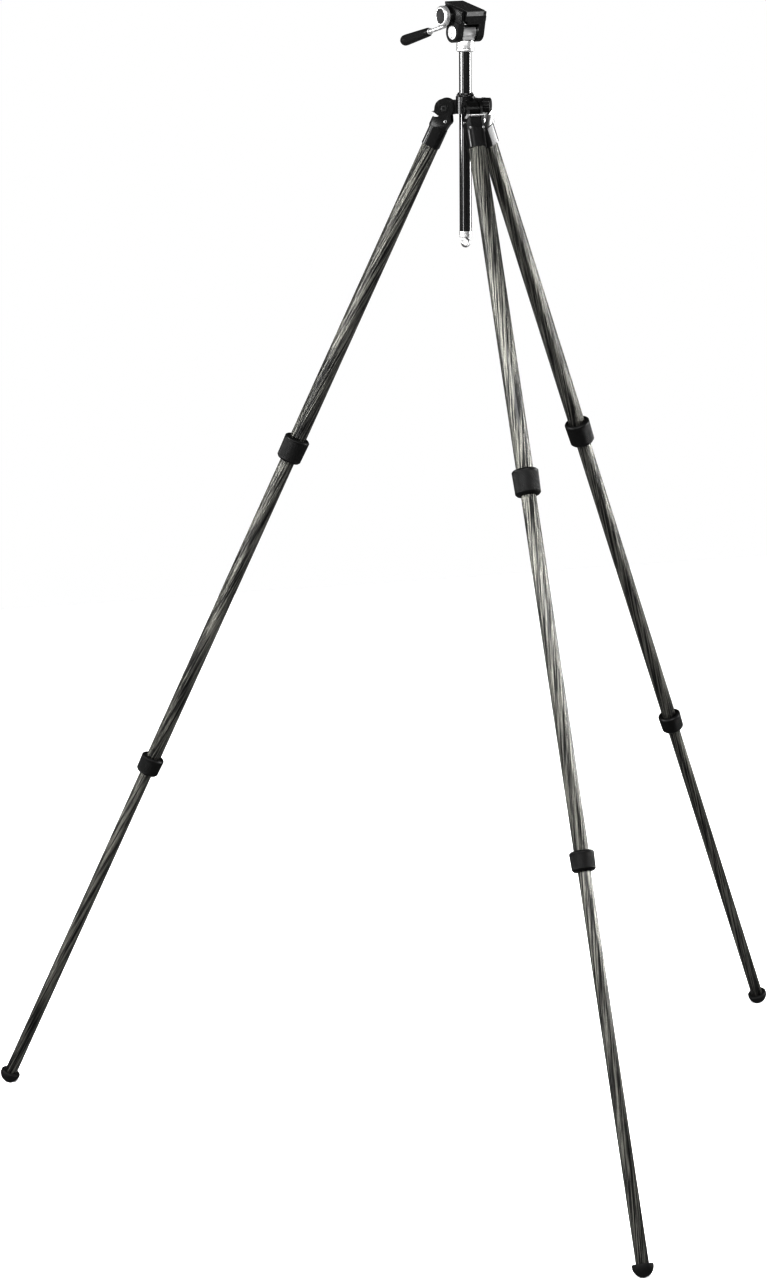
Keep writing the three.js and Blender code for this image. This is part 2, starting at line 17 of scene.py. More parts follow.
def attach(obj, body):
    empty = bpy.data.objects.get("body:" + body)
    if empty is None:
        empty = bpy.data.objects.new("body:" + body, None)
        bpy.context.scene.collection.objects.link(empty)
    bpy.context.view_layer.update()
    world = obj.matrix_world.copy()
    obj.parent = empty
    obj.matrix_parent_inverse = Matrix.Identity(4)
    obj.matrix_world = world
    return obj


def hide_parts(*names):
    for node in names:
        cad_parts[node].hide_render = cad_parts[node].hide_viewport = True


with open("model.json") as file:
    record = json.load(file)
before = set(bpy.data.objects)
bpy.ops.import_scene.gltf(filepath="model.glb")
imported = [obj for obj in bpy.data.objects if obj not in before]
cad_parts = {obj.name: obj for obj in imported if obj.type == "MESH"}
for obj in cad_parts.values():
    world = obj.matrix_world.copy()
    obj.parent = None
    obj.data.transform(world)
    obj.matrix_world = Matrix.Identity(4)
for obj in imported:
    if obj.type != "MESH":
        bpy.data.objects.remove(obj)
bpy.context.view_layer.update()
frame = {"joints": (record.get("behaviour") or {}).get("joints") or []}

MM = 0.001
JOINTS = {joint["name"]: joint for joint in frame["joints"]}
SIDES = ("front", "right", "left")

# The legs, in the leg's frame.
AXIS_INSET = 3.0
WALL = 1.2
TUBE_RADII = (12.5, 11.0, 9.5)
SLEEVE_TOP = 31.0
SLEEVE_END = 60.0
UPPER_LOCK = {"at": 569.0, "length": 38.0, "radius": 19.5}
LOWER_LOCK = {"at": 1125.0, "length": 29.0, "radius": 18.0}
RING_STEP = -5.0
KNURL = {"depth": 0.55, "around": 44, "pitch": 4.4}
TUBE_OVERLAP = 52.0
TUBE_END_IN_LOCK = 4.6
FOOT_AT = 1696.0
FOOT_RADIUS = 15.5
FOOT_FLAT = 0.5
SPREAD = math.radians(25)

# The brackets and the angle tabs, in the leg's frame.
CHEEK_HALF_WIDTH = 12.0
CHEEK_RADIUS = 14.2
LOBE_Y, LOBE_Z, LOBE_RADIUS = -10.3, -16.5, 7.5
SLEEVE_WALL = 0.7
SLEEVE_CORNER = 7.8
BOSS_RADIUS = 6.6
BOSS_HEIGHT = 1.3
DISH_RADIUS = 5.1
LOBE_SCREW = {"y": -10.6, "z": -16.6}
FACE_SCREW = {"x": 10.1, "y": 9.6, "z": -31.0, "lean": -112.0}
TAB_TOP = -12.6
TAB_BOTTOM = -14.8
TAB_HALF_WIDTH = 13.6

# The hub and the centre column, in the column's frame.
PIVOT_RADIUS = 30.0
LUG_HALF_WIDTH = 8.0
LUG_RADIUS = 11.5
LUG_BEARINGS = (180, -60, 60)
NOTCH_ANGLES = (-2, 30)
HUB_RADIUS = 14.0
HUB_BOTTOM = -8.0
HUB_TOP = 17.0
COLLAR_TOP = 22.5
COLUMN_RADIUS = 9.0
COLUMN_BOTTOM = -185.5
COLUMN_TOP = 82.5
COLUMN_WALL = 1.5
PLUG_RISE = 4.4
PLUG_DROP = 4.9
HOOK_RADIUS = 5.9
HOOK_WIRE_RADIUS = 1.4
HOOK_SWEEP = 250.0
COLUMN_KNOB = {"azimuth": -30.0, "z": 4.5, "radius": 11.0, "inner": 27.0, "outer": 38.4}

# The head, in the head's frame.
TILT_AXIS_HEIGHT = 111.0
NECK_RADIUS = 12.9
BARREL_RADIUS = 10.8
BARREL_HALF_LENGTH = 13.0
EAR_INNER = 13.3
EAR_OUTER = 24.0
EAR_RADIUS = 14.6
BRIDGE_BOTTOM = 15.0
BED_BOTTOM = 22.0
BED_TOP = 29.0
PLATE_BOTTOM = 29.4
PLATE_TOP = 38.3
PLATE_CENTRE_X = 2.0
PLATE_HALF_WIDTH = 16.0
PLATE_REAR = -34.0
PLATE_FRONT = 23.5
KNOB = {"y": -15.5, "z": 21.2, "radius": 15.2, "inner": 28.5, "outer": 37.0}
SCREW_RADIUS = 3.0
SCREW_HOLE = 3.4
SCREW_Y = -5.0
HANDLE_BASE = (0.0, -27.1, 7.5)
HANDLE_DROOP = math.radians(25.6)
HANDLE_RADIUS = 2.9
AXLE_HOLE = 4.4
RAIL_MIDDLE = 4.6
RAIL_TOOTH = 1.2
GRIP_START = 70.0
GRIP_END = 139.0

GAP = 0.3
FINE = 96


# --- Frames ---------------------------------------------------------------------------------------------

def placement(x_axis, z_axis, origin):
    """The matrix from a local frame in millimetres to the row frame in metres."""
    x_axis, z_axis = Vector(x_axis).normalized(), Vector(z_axis).normalized()
    matrix = Matrix((x_axis, z_axis.cross(x_axis), z_axis)).transposed().to_4x4()
    matrix.translation = Vector(origin)
    return matrix @ Matrix.Scale(MM, 4)


def shift(x=0.0, y=0.0, z=0.0):
    return Matrix.Translation((x, y, z))


def turn(degrees, axis):
    return Matrix.Rotation(math.radians(degrees), 4, axis)


def leg_placement(side):
    spread, slide = JOINTS[f"{side}_leg_spread"], JOINTS[f"{side}_middle_slide"]
    return placement(spread["axis"], slide["axis"], spread["pos_m"])


column_x, column_y, _ = JOINTS["pan"]["pos_m"]
pivot_height = JOINTS["front_leg_spread"]["pos_m"][2]
COLUMN = placement((1, 0, 0), (0, 0, 1), (column_x, column_y, pivot_height))
head_x = -Vector(JOINTS["tilt"]["axis"])
PAN = placement(head_x, (0, 0, 1), JOINTS["tilt"]["pos_m"])
HEAD = placement(head_x, JOINTS["camera_screw_rise"]["axis"], JOINTS["tilt"]["pos_m"])
HANDLE = placement(head_x, JOINTS["handle_twist"]["axis"], JOINTS["handle_twist"]["pos_m"])
SIDEWAYS = turn(90, "Y")
KNOB_SHIFT = shift(y=KNOB["y"], z=KNOB["z"])
COLUMN_KNOB_AXIS = turn(COLUMN_KNOB["azimuth"] - 90, "Z") @ shift(z=COLUMN_KNOB["z"]) @ turn(-90, "X")


# --- Shapes: a shape is a list of points in millimetres and a list of faces -----------------------------

def arc(x, y, radius, start, end, steps):
    """Points on a circle from one angle to another, in degrees."""
    angles = [math.radians(start + (end - start) * i / steps) for i in range(steps + 1)]
    return [(x + radius * math.cos(a), y + radius * math.sin(a)) for a in angles]


def eased(corners, radius, steps=3, closed=True):
    """An outline with its corners rounded. Corners on the axis, and the ends of an open outline, stay."""
    count = len(corners)
    points = []
    for i, corner in enumerate(corners):
        at_end = not closed and i in (0, count - 1)
        here = Vector(corner)
        before, after = Vector(corners[i - 1]) - here, Vector(corners[(i + 1) % count]) - here
        if at_end or here.x == 0 or before.length < 1e-6 or after.length < 1e-6:
            points.append(tuple(here))
            continue
        reach = min(radius, 0.45 * before.length, 0.45 * after.length)
        first, last = here + before.normalized() * reach, here + after.normalized() * reach
        for k in range(steps + 1):
            t = k / steps
            points.append(tuple(first * (1 - t) ** 2 + here * 2 * t * (1 - t) + last * t ** 2))
    return points


def turned(profile, segments=FINE, relief=None):
    """A piece of revolution about Z. A profile that starts and ends on the axis is closed there; any other
    is joined end to end. relief gives the height of a pattern at an angle, radius and height."""
    on_axis = profile[0][0] == 0 and profile[-1][0] == 0
    points, rings = [], []
    for radius, height in profile:
        start = len(points)
        if radius == 0:
            points.append(Vector((0, 0, height)))
            rings.append([start])
            continue
        for k in range(segments):
            angle = 2 * math.pi * k / segments
            reach = radius + (relief(angle, radius, height) if relief else 0)
            points.append(Vector((reach * math.cos(angle), reach * math.sin(angle), height)))
        rings.append(list(range(start, start + segments)))
    pairs = list(zip(rings, rings[1:]))
    if not on_axis:
        pairs.append((rings[-1], rings[0]))
    faces = []
    for low, high in pairs:
        for k in range(segments):
            following = (k + 1) % segments
            corners = (low[k % len(low)], low[following % len(low)],
                       high[following % len(high)], high[k % len(high)])
            face = list(dict.fromkeys(corners))
            if len(face) > 2:
                faces.append(face)
    return points, faces


def rod(radius, bottom, top, segments=FINE):
    return turned([(0, bottom), (radius, bottom), (radius, top), (0, top)], segments)


def tube(inner, outer, bottom, top, segments=FINE, ease=0.2):
    corners = [(inner, bottom), (outer, bottom), (outer, top), (inner, top)]
    return turned(eased(corners, ease), segments)


def extruded(outline, low, high):
    """A plate whose outline of (y, z) points runs along X from low to high."""
    count = len(outline)
    points = [Vector((x, y, z)) for x in (low, high) for y, z in outline]
    faces = [[i, (i + 1) % count, count + (i + 1) % count, count + i] for i in range(count)]
    return points, faces + [list(range(count))[::-1], list(range(count, 2 * count))]


def extruded_along_y(outline, low, high):
    """A rail whose outline of (x, z) points runs along Y from low to high."""
    return moved(extruded(outline, -high, -low), turn(-90, "Z"))


def block(x, y, z):
    return extruded([(y[0], z[0]), (y[1], z[0]), (y[1], z[1]), (y[0], z[1])], *x)


def moved(shape, *matrices):
    points, faces = shape
    for matrix in matrices:
        points = [matrix @ point for point in points]
    return points, faces


def mesh_of(name, shape, matrix=None):
    """A mesh with its normals outward and each point's local place kept for the materials."""
    points, faces = shape
    mesh = bpy.data.meshes.new(name)
    mesh.from_pydata([matrix @ p for p in points] if matrix else points, [], faces)
    local = mesh.attributes.new("local", "FLOAT_VECTOR", "POINT")
    local.data.foreach_set("vector", [value for point in points for value in point])
    work = bmesh.new()
    work.from_mesh(mesh)
    bmesh.ops.recalc_face_normals(work, faces=work.faces)
    work.to_mesh(mesh)
    work.free()
    return mesh


def carved(whole, adds=(), cuts=()):
    """A closed shape with others joined to it and then cut from it."""
    base = bpy.data.objects.new("carved", mesh_of("carved", whole))
    bpy.context.scene.collection.objects.link(base)
    helpers = []
    for operation, shapes in (("UNION", adds), ("DIFFERENCE", cuts)):
        for shape in shapes:
            helper = bpy.data.objects.new("tool", mesh_of("tool", shape))
            bpy.context.scene.collection.objects.link(helper)
            helpers.append(helper)
            step = base.modifiers.new("carve", "BOOLEAN")
            step.operation, step.object, step.solver = operation, helper, "EXACT"
    evaluated = base.evaluated_get(bpy.context.evaluated_depsgraph_get())
    result = bpy.data.meshes.new_from_object(evaluated)
    work = bmesh.new()
    work.from_mesh(result)
    bmesh.ops.remove_doubles(work, verts=work.verts, dist=0.01)
    bmesh.ops.dissolve_limit(work, angle_limit=0.01, verts=work.verts, edges=work.edges)
    work.verts.index_update()
    points = [vertex.co.copy() for vertex in work.verts]
    faces = [[vertex.index for vertex in face.verts] for face in work.faces]
    work.free()
    bpy.data.meshes.remove(result)
    for made in (base, *helpers):
        mesh = made.data
        bpy.data.objects.remove(made)
        bpy.data.meshes.remove(mesh)
    return points, faces


def piece(name, shape, matrix, material, body, replaces=(), bevel=0.0, sharp=32):
    """One visible piece, which rides on a CAD body."""
    mesh = mesh_of(name, shape, matrix)
    mesh.materials.append(material)
    mesh.shade_smooth()
    mesh.set_sharp_from_angle(angle=math.radians(sharp))
    made = bpy.data.objects.new(name, mesh)
    bpy.context.scene.collection.objects.link(made)
    if bevel:
        edges = made.modifiers.new("bevel", "BEVEL")
        edges.width = bevel * MM
        edges.segments = 3
        edges.limit_method = "ANGLE"
        edges.angle_limit = math.radians(sharp)
        edges.harden_normals = True
    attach(made, body)
    if replaces:
        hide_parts(*replaces)
    return made


# --- Materials ------------------------------------------------------------------------------------------

class Finish:
    """A material under construction. Its nodes read each point's local place, in millimetres."""

    def __init__(self, name, **sockets):
        self.material = bpy.data.materials.new(name)
        self.material.use_nodes = True
        self.nodes = self.material.node_tree.nodes
        self.links = self.material.node_tree.links
        self.shader = self.nodes["Principled BSDF"]
        for socket, value in sockets.items():
            self.shader.inputs[socket.replace("_", " ")].default_value = value
        self.local = self.add("ShaderNodeAttribute", attribute_name="local").outputs["Vector"]

    def add(self, kind, inputs=None, **settings):
        node = self.nodes.new(kind)
        for key, value in settings.items():
            setattr(node, key, value)
        for key, value in (inputs or {}).items():
            self.feed(node.inputs[key], value)
        return node

    def feed(self, socket, value):
        if isinstance(value, bpy.types.NodeSocket):
            self.links.new(value, socket)
        else:
            socket.default_value = value

    def math(self, operation, *values):
        node = self.add("ShaderNodeMath", operation=operation)
        for socket, value in zip(node.inputs, values):
            self.feed(socket, value)
        return node.outputs["Value"]

    def total(self, *parts):
        """The sum of values that are each given with a weight."""
        whole = self.math("MULTIPLY", *parts[0])
        for value, weight in parts[1:]:
            whole = self.math("MULTIPLY_ADD", value, weight, whole)
        return whole

    def xyz(self, vector=None):
        return self.add("ShaderNodeSeparateXYZ", {"Vector": vector or self.local}).outputs

    def vector(self, x, y, z):
        return self.add("ShaderNodeCombineXYZ", {"X": x, "Y": y, "Z": z}).outputs["Vector"]

    def stretched(self, x, y, z, vector=None):
        node = self.add("ShaderNodeVectorMath", {0: vector or self.local, 1: (x, y, z)},
                        operation="MULTIPLY")
        return node.outputs["Vector"]

    def twisted(self, per_mm, vector=None):
        """The local place turned about Z in proportion to its height, so that a pattern spirals."""
        angle = self.math("MULTIPLY", self.xyz(vector)["Z"], per_mm)
        node = self.add("ShaderNodeVectorRotate", {"Vector": vector or self.local, "Angle": angle},
                        rotation_type="Z_AXIS")
        return node.outputs["Vector"]

    def around(self, vector=None):
        """The angle about Z, in turns."""
        parts = self.xyz(vector)
        return self.math("DIVIDE", self.math("ARCTAN2", parts["Y"], parts["X"]), 2 * math.pi)

    def noise(self, vector, scale=1.0, detail=4.0, roughness=0.55):
        node = self.add("ShaderNodeTexNoise",
                        {"Vector": vector, "Scale": scale, "Detail": detail, "Roughness": roughness})
        return node.outputs["Fac"]

    def wave(self, phase):
        """A smooth wave from 0 to 1, once for each whole number of its phase."""
        swing = self.math("SINE", self.math("MULTIPLY", phase, 2 * math.pi))
        return self.math("MULTIPLY_ADD", swing, 0.5, 0.5)

    def ranged(self, value, low, high, to_low=0.0, to_high=1.0):
        node = self.add("ShaderNodeMapRange", {"Value": value, "From Min": low, "From Max": high,
                                               "To Min": to_low, "To Max": to_high})
        return node.outputs["Result"]

    def ramp(self, value, *stops):
        node = self.add("ShaderNodeValToRGB", {"Fac": value})
        elements = node.color_ramp.elements
        while len(elements) < len(stops):
            elements.new(0.5)
        for element, (place, colour) in zip(elements, stops):
            element.position = place
            element.color = (*colour, 1)
        return node.outputs["Color"]

    def bump(self, height, distance, strength=1.0, under=None):
        inputs = {"Height": height, "Distance": distance * MM, "Strength": strength}
        if under:
            inputs["Normal"] = under
        return self.add("ShaderNodeBump", inputs).outputs["Normal"]

    def set(self, **sockets):
        for socket, value in sockets.items():
            self.feed(self.shader.inputs[socket.replace("_", " ")], value)
        return self.material


def grey(level, tint=(1.0, 1.0, 1.0)):
    return tuple(level * part for part in tint)


def carbon_finish():
    """Clear-coated carbon fibre: tows that run almost lengthwise in a slow spiral, each at its own slant to
    the light, under a fine diagonal wrap."""
    f = Finish("carbon", Metallic=0.75, Specular_IOR_Level=0.2, Coat_Weight=0.1, Coat_Roughness=0.12)
    spiral = f.twisted(-0.0085)
    tows = f.noise(f.stretched(1.0, 1.0, 0.022, spiral), 0.55, 3.0, 0.6)
    fibres = f.noise(f.stretched(1.0, 1.0, 0.012, spiral), 2.6, 4.0, 0.7)
    steep = f.math("MULTIPLY", f.around(), 30.0)
    along = f.math("MULTIPLY", f.xyz()["Z"], 1 / 2.6)
    rising, falling = f.math("ADD", steep, along), f.math("SUBTRACT", steep, along)
    wrap = f.math("MULTIPLY", f.wave(rising), f.wave(falling))
    tone = f.total((f.ranged(tows, 0.36, 0.64), 0.7), (fibres, 0.3), (wrap, 0.02))
    colour = f.ramp(tone, (0.32, grey(0.008)), (0.5, grey(0.045, (1.0, 0.99, 0.92))),
                    (0.7, grey(0.12, (1.0, 0.99, 0.89))))
    rough = f.ranged(fibres, 0.25, 0.75, 0.4, 0.22)
    slant = f.total((tows, 1.0), (fibres, 0.25))
    return f.set(Base_Color=colour, Roughness=rough, Normal=f.bump(slant, 1.6))


def casting_finish(name, level, rough, specular, coat=0.3):
    """Black powder coat or anodising: fine orange peel, with scuffs that are a little lighter and
    rougher."""
    f = Finish(name, Coat_Weight=coat, Coat_Roughness=0.1, Specular_IOR_Level=specular)
    grain = f.noise(f.local, 2.2, 3.0, 0.6)
    scuffs = f.ranged(f.noise(f.stretched(1.0, 1.0, 0.35), 0.35, 5.0, 0.7), 0.56, 0.75)
    colour = f.ramp(scuffs, (0.0, grey(level)), (1.0, grey(level * 2.2 + 0.006)))
    roughness = f.total((f.ranged(grain, 0.3, 0.7, rough - 0.05, rough + 0.05), 1.0), (scuffs, 0.12))
    return f.set(Base_Color=colour, Roughness=roughness, Normal=f.bump(grain, 0.04, 0.5))


def gloss_finish():
    """The centre column: gloss black anodising over a drawn tube, with faint lines along it."""
    f = Finish("gloss_column", Coat_Weight=0.3, Coat_Roughness=0.14, Specular_IOR_Level=0.4)
    lines = f.noise(f.stretched(1.0, 1.0, 0.008), 3.0, 4.0, 0.6)
    rubs = f.noise(f.stretched(0.4, 0.4, 0.05), 0.5, 4.0, 0.6)
    colour = f.ramp(lines, (0.3, grey(0.0035)), (0.7, grey(0.009)))
    rough = f.total((f.ranged(lines, 0.3, 0.7, 0.11, 0.19), 1.0), (f.ranged(rubs, 0.55, 0.8), 0.1))
    return f.set(Base_Color=colour, Roughness=rough, Normal=f.bump(lines, 0.01, 0.4))


def turned_metal_finish(name, level, rough, rings=1.0, metallic=1.0):
    """Turned metal: fine rings left by the tool about the local Z axis, and a soft mottle."""
    f = Finish(name, Metallic=metallic)
    flat = f.stretched(1.0, 1.0, 0.0)
    reach = f.add("ShaderNodeVectorMath", {0: flat}, operation="LENGTH").outputs["Value"]
    tool_marks = f.noise(f.vector(reach, 0.0, f.xyz()["Z"]), 6.0, 2.0, 0.6)
    mottle = f.noise(f.local, 0.22, 5.0, 0.6)
    tone = f.total((tool_marks, 0.5), (mottle, 0.5))
    colour = f.ramp(tone, (0.3, grey(level * 0.9)), (0.7, grey(level)))
    roughness = f.total((f.ranged(tool_marks, 0.3, 0.7, rough - 0.05, rough + 0.05), 1.0),
                        (f.ranged(mottle, 0.5, 0.8), 0.08))
    return f.set(Base_Color=colour, Roughness=roughness, Normal=f.bump(tool_marks, 0.012 * rings, 0.6))


def moulded_finish(name, level, rough, grain_scale, depth):
    """Moulded plastic or rubber: a fine matt grain, with slight patches of shine where it is handled."""
    f = Finish(name, Specular_IOR_Level=0.18)
    grain = f.noise(f.local, grain_scale, 5.0, 0.65)
    patches = f.noise(f.local, 0.12, 3.0, 0.5)
    tone = f.total((grain, 0.5), (patches, 0.5))
    colour = f.ramp(tone, (0.35, grey(level * 0.7)), (0.65, grey(level * 1.35)))
    roughness = f.total((f.ranged(grain, 0.3, 0.7, rough - 0.06, rough + 0.06), 1.0),
                        (f.ranged(patches, 0.45, 0.7), -0.1))
    return f.set(Base_Color=colour, Roughness=roughness, Normal=f.bump(grain, depth, 0.7))


CARBON = carbon_finish()
CASTING = casting_finish("casting", 0.002, 0.3, 0.25, coat=0.1)
PLATE = casting_finish("plate_anodising", 0.006, 0.45, 0.25, coat=0.0)
PLATE_END = casting_finish("plate_end", 0.05, 0.55, 0.4, coat=0.0)
DARK_STEEL = casting_finish("black_steel", 0.01, 0.28, 0.4, coat=0.0)
GLOSS = gloss_finish()
BRIGHT = turned_metal_finish("bright_metal", 0.5, 0.36, rings=0.5, metallic=0.85)
POLISHED = turned_metal_finish("polished_wire", 0.5, 0.2, rings=0.4, metallic=0.95)
STEEL = turned_metal_finish("steel", 0.4, 0.28)
LOCK = moulded_finish("lock_polymer", 0.002, 0.5, 3.0, 0.05)
COLLET = moulded_finish("collet_polymer", 0.02, 0.4, 2.0, 0.02)
GRIP = moulded_finish("grip_polymer", 0.004, 0.42, 3.2, 0.04)
INSERT = moulded_finish("insert_polymer", 0.012, 0.5, 4.0, 0.03)
PAD = moulded_finish("pad_rubber", 0.012, 0.7, 2.5, 0.08)
FOOT = moulded_finish("foot_rubber", 0.004, 0.62, 1.6, 0.1)


# --- The legs -------------------------------------------------------------------------------------------

def rounded_square(half, corner):
    """The outline of a square with round corners."""
    flat = half - corner
    centres = ((flat, flat, 0), (-flat, flat, 90), (-flat, -flat, 180), (flat, -flat, 270))
    return [point for x, y, start in centres for point in arc(x, y, corner, start, start + 90, 16)]


def bracket_shape():
    """The casting that holds the upper tube between two cheeks that straddle the hub's lug."""
    outline = arc(0, 0, CHEEK_RADIUS, -20, 205, 60) + arc(LOBE_Y, LOBE_Z, LOBE_RADIUS, 150, 215, 16)
    outline += [(-14.5, -33), (9, -33), (10.6, -29), (10.6, -13)]
    body = extruded(outline, -CHEEK_HALF_WIDTH, CHEEK_HALF_WIDTH)
    section = rounded_square(TUBE_RADII[0] + SLEEVE_WALL, SLEEVE_CORNER)
    sleeve = moved(extruded(section, SLEEVE_TOP, SLEEVE_END), turn(90, "Y"), shift(y=-AXIS_INSET))
    bore = moved(rod(TUBE_RADII[0] + 0.1, -SLEEVE_END - 1, -SLEEVE_TOP - 3), shift(y=-AXIS_INSET))
    boss = rod(BOSS_RADIUS, CHEEK_HALF_WIDTH - 1, CHEEK_HALF_WIDTH + BOSS_HEIGHT, 48)
    dish = rod(DISH_RADIUS, CHEEK_HALF_WIDTH - 0.2, CHEEK_HALF_WIDTH + 3, 48)
    bosses, dishes = [[moved(shape, turn(90 * way, "Y")) for way in (-1, 1)] for shape in (boss, dish)]
    slot_x = (-LUG_HALF_WIDTH - GAP, LUG_HALF_WIDTH + GAP)
    slots = [block(slot_x, (-30, 30), (-15, 30)), block(slot_x, (4.6, 30), (-29.8, -14))]
    return carved(body, [sleeve, *bosses], [bore, *slots, *dishes])


def hexagon(across_corners, bottom, top):
    return rod(across_corners / 2, bottom, top, 6)


def socket_screw(head_radius, bottom, top, socket):
    """A screw head with a hexagon socket, from its seat up."""
    profile = eased([(0, bottom), (head_radius, bottom), (head_radius, top), (0, top)], 0.5, closed=False)
    return carved(turned(profile, 48), cuts=[hexagon(socket, top - 1.4, top + 1)])


def tab_shapes():
    """The angle tab: the black slider between the cheeks, and the bright bar that the finger pulls, with a
    nose towards the hub's lug and an arm back along each cheek."""
    tongue = LUG_HALF_WIDTH - 0.1
    slider = block((-tongue, tongue), (5, 8), (-29.4, TAB_BOTTOM - 0.2))
    ridges = [block((-tongue + 1.2, tongue - 1.2), (7.4, 8.6), (z, z + 1.1)) for z in (-27.6, -25.2, -22.8)]
    bar_outline = eased([(11, TAB_BOTTOM), (15.6, TAB_BOTTOM), (15.6, TAB_TOP), (11, TAB_TOP)], 0.7, 4)
    bar = extruded(bar_outline, -TAB_HALF_WIDTH, TAB_HALF_WIDTH)
    nose = block((-tongue, tongue), (5, 11.4), (TAB_BOTTOM + 0.2, TAB_TOP - 0.2))
    arms = []
    for way in (-1, 1):
        low, high = sorted((way * TAB_HALF_WIDTH, way * (CHEEK_HALF_WIDTH + 0.4)))
        outline = eased([(2.6, -13.0), (2.6, -14.4), (8, -17.0), (13, -17.2), (15.0, -15), (15.0, -12.4),
                         (12.4, -11.4)], 0.8, 4)
        arms.append(extruded(outline, low, high))
    return carved(slider, ridges), carved(bar, [nose, *arms])


def knurl(radius, low, high, depth, around, pitch):
    """A diamond pattern on the outer side between two heights, fading out at both ends."""
    def relief(angle, reach, height):
        if reach < radius - 1.2 or not low < height < high:
            return 0.0
        turns, climb = angle / (2 * math.pi) * around, height / pitch
        fade = min(1.0, (height - low) / 1.2, (high - height) / 1.2)
        ridges = [1 - 2 * abs((turns + way * climb) % 1 - 0.5) for way in (-1, 1)]
        return -depth * fade * (1 - min(0.75, min(ridges)) / 0.75)
    return relief


def rows(start, end, count):
    """Evenly spaced points of a profile between two of its corners."""
    return [(start[0] + (end[0] - start[0]) * i / count, start[1] + (end[1] - start[1]) * i / count)
            for i in range(count + 1)]


def lock_ring(lock, bore, seat, collet_inner):
    """A knurled ring with a wide bore for the bush, a narrower seat for the collet and a mouth below."""
    top = lock["length"] / 2
    radius = lock["radius"]
    mouth = collet_inner + GAP
    outer_low, outer_high = (radius - 0.7, -top + 3.2), (radius, top - 4.2)
    count = int((outer_high[1] - outer_low[1]) * 2.4)
    outside = eased([(mouth, -top), (radius - 3.2, -top), outer_low], 1.4, 5, closed=False)[1:-1]
    lip = eased([outer_high, (radius, top - 3.2), (radius - 0.1, top - 2.2), (radius - 2.4, top),
                 (bore, top)], 0.7, 4, closed=False)[1:-1]
    inside = [(bore + 0.4, top), (bore, top - 0.4), (bore, RING_STEP), (seat, RING_STEP), (seat, -top + 2),
              (mouth, -top + 2), (mouth, -top + 0.4), (mouth + 0.4, -top)]
    profile = outside + rows(outer_low, outer_high, count) + lip + inside
    pattern = knurl(radius, outer_low[1] - 0.1, outer_high[1] + 0.1, **KNURL)
    return turned(profile, 264, pattern)


def twist_lock(side, level, lock, outer_radius, inner_radius, matrix, outer_body, ring_body):
    """A twist lock: the bush on the outer tube's end, the split collet in it and the ring round both."""
    top = lock["length"] / 2
    bush_outer = outer_radius + 2.4
    collet = (inner_radius + GAP, inner_radius + 2.4)
    station = matrix @ shift(y=-AXIS_INSET, z=-lock["at"])
    name = f"{side}_{level}_lock"
    ring = lock_ring(lock, bush_outer + 0.6, collet[1] + 0.6, collet[0])
    piece(f"{name}_grip_ring", ring, station, LOCK, ring_body, [f"{name}_ring"])
    bush = tube(outer_radius + 0.1, bush_outer, RING_STEP + 1, top - 1.5, ease=0.4)
    piece(f"{name}_collar", bush, station, CASTING, outer_body, [f"{name}_bush"])
    slit = block((0, 30), (-0.8, 0.8), (-30, 30))
    split = carved(tube(*collet, -top + 2.4, RING_STEP - 0.6), cuts=[slit])
    piece(f"{name}_split_collet", split, station, COLLET, outer_body, [f"{name}_collet"])


def foot_shape():
    """A rubber ball with a lip round its socket, worn flat where it stands on the floor."""
    socket = TUBE_RADII[2] + 0.1
    ball = [(FOOT_RADIUS * math.sin(a), -FOOT_RADIUS * math.cos(a))
            for a in (math.radians(90 * i / 24) for i in range(25))]
    rim = eased([(FOOT_RADIUS, 0), (FOOT_RADIUS, 2), (FOOT_RADIUS - 1, 3.2), (socket, 3.2), (socket, -6),
                 (0, -6)], 0.6, 4, closed=False)[1:]
    floor = moved(block((-20, 20), (-20, 20), (-40, FOOT_FLAT - FOOT_RADIUS)),
                  Matrix.Rotation(-SPREAD, 4, "X"))
    return carved(turned(ball + rim, 72), cuts=[floor])


def carbon_tube(name, radius, bottom, top, matrix, body, replaces):
    shape = tube(radius - WALL, radius, bottom, top)
    return piece(name, shape, matrix @ shift(y=-AXIS_INSET), CARBON, body, [replaces])


def bracket(side, shapes, matrix):
    """The bracket with its screws, and the angle tab that slides in it."""
    body = f"{side}_leg"
    piece(f"{side}_bracket", shapes["bracket"], matrix, CASTING, body,
          [f"{side}_leg_bracket"], bevel=0.7)
    for way, word in ((1, "near"), (-1, "far")):
        across = matrix @ turn(90 * way, "Y")
        piece(f"{side}_bolt_{word}", shapes["bolt"], across, DARK_STEEL, body,
              [f"{side}_pivot_bolt"])
        small = across @ shift(x=-LOBE_SCREW["z"] * way, y=LOBE_SCREW["y"])
        piece(f"{side}_screw_{word}", shapes["screw"], small, STEEL, body)
        corner = shift(x=FACE_SCREW["x"] * way, y=FACE_SCREW["y"], z=FACE_SCREW["z"])
        facing = matrix @ corner @ turn(FACE_SCREW["lean"], "X")
        piece(f"{side}_face_screw_{word}", shapes["face_screw"], facing, BRIGHT, body)
    slider, tab_bar = shapes["tab"]
    piece(f"{side}_tab_slider", slider, matrix, CASTING, f"{side}_angle_tab",
          [f"{side}_angle_tab"], bevel=0.35)
    piece(f"{side}_tab_bar", tab_bar, matrix, BRIGHT, f"{side}_angle_tab",
          [f"{side}_angle_tab"], bevel=0.3)


